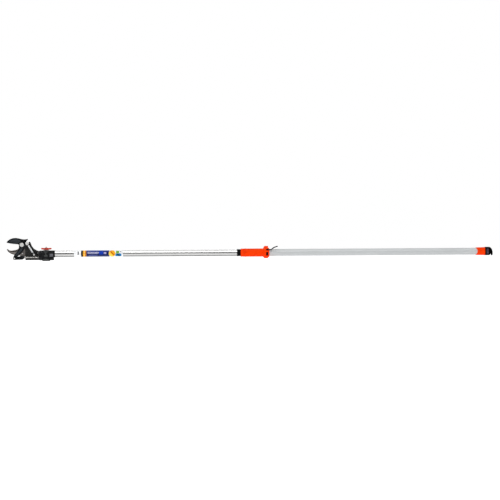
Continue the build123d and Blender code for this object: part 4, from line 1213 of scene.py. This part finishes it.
def pull_knob():
    """Moulded cap with a finger hook and a flat, framed inlay on both sides, coloured with a painted
    reflection.
    """
    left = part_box("pull_knob")[0].x + 0.0049
    right = left + 0.0116
    cutters = [prism(window(left, -0.0130, right, 0.0130, 0.0016), side * 0.0240, side * 0.0160)
               for side in (1, -1)]
    made = moulded("pull_knob_moulded", merged_copy(["pull_knob"]), 0.00042, BLACK_CAP, smoothing=5, keep=0.5,
                   cutters=cutters)
    hand_over(made, "pull_knob", "black_cap", "pull_knob")
    # the inlays' pale blue-grey is a painted reflection on the knob's black flats
    ring = window(left + 0.0005, -0.0114, right - 0.0005, 0.0114, 0.0014)
    for name, side in (("pull_knob_inlay_front", -1), ("pull_knob_inlay_rear", 1)):
        inlay(name, ring, side * 0.0150, side * 0.01645, CAP_PANEL_PAINTED_REFLECTION, 0.0004, 3, "pull_knob", "black_cap",
              "pull_knob")


end_collar()
pull_knob()


# ---------------------------------------------------------------------------------------------
# CAD nodes that stay, with their finishes
# ---------------------------------------------------------------------------------------------

STAYS = {
    "pull_rod": ROD_STEEL, "hook_rivets": ZINC, "housing_screws": DARK_STEEL, "frame_bolts": DARK_STEEL,
    "drive_block": BLACK_NYLON, "drive_rod": INNER_ALUMINIUM, "rod_guide_bush": BRASS,
    "foot_bush": BLACK_NYLON, "lever_pins": DARK_STEEL, "grip_rivets": ZINC, "lock_shoe": BLACK_NYLON,
    "shoe_spring": SPRING_WIRE, "collar_pins": DARK_STEEL, "knob_pin": DARK_STEEL,
    "drive_tube": INNER_ALUMINIUM, "drive_clutch": BRASS,
}
for node, material in STAYS.items():
    slots = NODES[node].data.materials
    slots.clear()
    slots.append(material)


# ---------------------------------------------------------------------------------------------
# Floor, light and camera
# ---------------------------------------------------------------------------------------------

def stage():
    floor = bpy.data.meshes.new("floor")
    size = 60.0
    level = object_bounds()[0].z - 0.0004
    corners = [(-size, -size, level), (size, -size, level), (size, size, level), (-size, size, level)]
    floor.from_pydata(corners, [], [(0, 1, 2, 3)])
    shown = bpy.data.objects.new("floor", floor)
    bpy.context.scene.collection.objects.link(shown)
    pale = bpy.data.materials.new("pale_floor")
    pale.use_nodes = True
    surface = pale.node_tree.nodes["Principled BSDF"]
    for socket, value in (("Base Color", (0.62, 0.62, 0.62, 1)), ("Roughness", 0.9),
                          ("Specular IOR Level", 0.0), ("Emission Color", (1, 1, 1, 1)),
                          ("Emission Strength", 0.72)):
        surface.inputs[socket].default_value = value
    floor.materials.append(pale)
    shown.visible_glossy = False
    shown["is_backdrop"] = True


def soft_box(name, place, target, width, height, power):
    data = bpy.data.lights.new(name, "AREA")
    data.shape = "RECTANGLE"
    data.size = width
    data.size_y = height
    data.energy = power
    made = bpy.data.objects.new(name, data)
    bpy.context.scene.collection.objects.link(made)
    made.location = place
    made.rotation_mode = "QUATERNION"
    made.rotation_quaternion = (Vector(target) - Vector(place)).to_track_quat("-Z", "Y")


def world():
    """Studio surround, banded by elevation for the reflections; the camera itself sees white."""
    made = bpy.data.worlds.new("studio")
    bpy.context.scene.world = made
    made.use_nodes = True
    made.node_tree.nodes.clear()
    nodes = Nodes(made.node_tree)
    aim = nodes.node("ShaderNodeTexCoord").outputs["Generated"]
    split = nodes.node("ShaderNodeSeparateXYZ", Vector=aim).outputs
    rise = nodes.math("ARCTAN2", split["Z"], nodes.math("MULTIPLY", split["Y"], -1.0))
    stops = [(0.0, 0.70), (0.08, 0.50), (0.15, 0.14), (0.22, 0.14), (0.27, 0.90), (0.40, 1.00),
             (0.46, 0.45), (0.50, 0.10), (0.56, 0.10), (0.60, 0.50), (0.66, 0.98), (0.75, 0.98),
             (0.82, 0.50), (0.90, 0.40), (1.0, 0.60)]
    tone = nodes.ramp(nodes.span(rise, -math.pi, math.pi),
                      [(at, (level, level, level, 1)) for at, level in stops])
    light = nodes.node("ShaderNodeBackground", Color=tone, Strength=0.9)
    seen = nodes.node("ShaderNodeBackground", Color=(1, 1, 1, 1), Strength=1.0)
    rays = nodes.node("ShaderNodeLightPath").outputs["Is Camera Ray"]
    mix = nodes.node("ShaderNodeMixShader", Fac=rays)
    nodes.feed(mix.inputs[1], light.outputs[0])
    nodes.feed(mix.inputs[2], seen.outputs[0])
    nodes.node("ShaderNodeOutputWorld", Surface=mix.outputs[0])


def camera():
    """Level side view of the blade side, with the whole tool across the frame."""
    low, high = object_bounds()
    length = high.x - low.x
    data = bpy.data.cameras.new("camera")
    data.lens = 120
    data.sensor_width = 36
    made = bpy.data.objects.new("camera", data)
    bpy.context.scene.collection.objects.link(made)
    frame_width = length * 1.0303
    distance = frame_width * data.lens / data.sensor_width
    aim = Vector(((low.x + high.x) / 2 + 0.0022, 0, 0.0118))
    made.location = aim - AXIS_Y * distance
    made.rotation_euler = (math.radians(90), math.radians(0.36), 0)
    data.clip_end = 100
    bpy.context.scene.camera = made


stage()
soft_box("key", (-0.6, -1.7, 2.4), (0, 0, 0), 3.6, 0.7, 26)
soft_box("fill", (0.5, -2.4, 1.9), (0, 0, 0), 3.4, 0.5, 12)
soft_box("rim", (0.2, 2.0, 1.8), (0, 0, 0), 3.6, 0.7, 12)
world()
camera()
bpy.context.scene.view_settings.view_transform = "Standard"
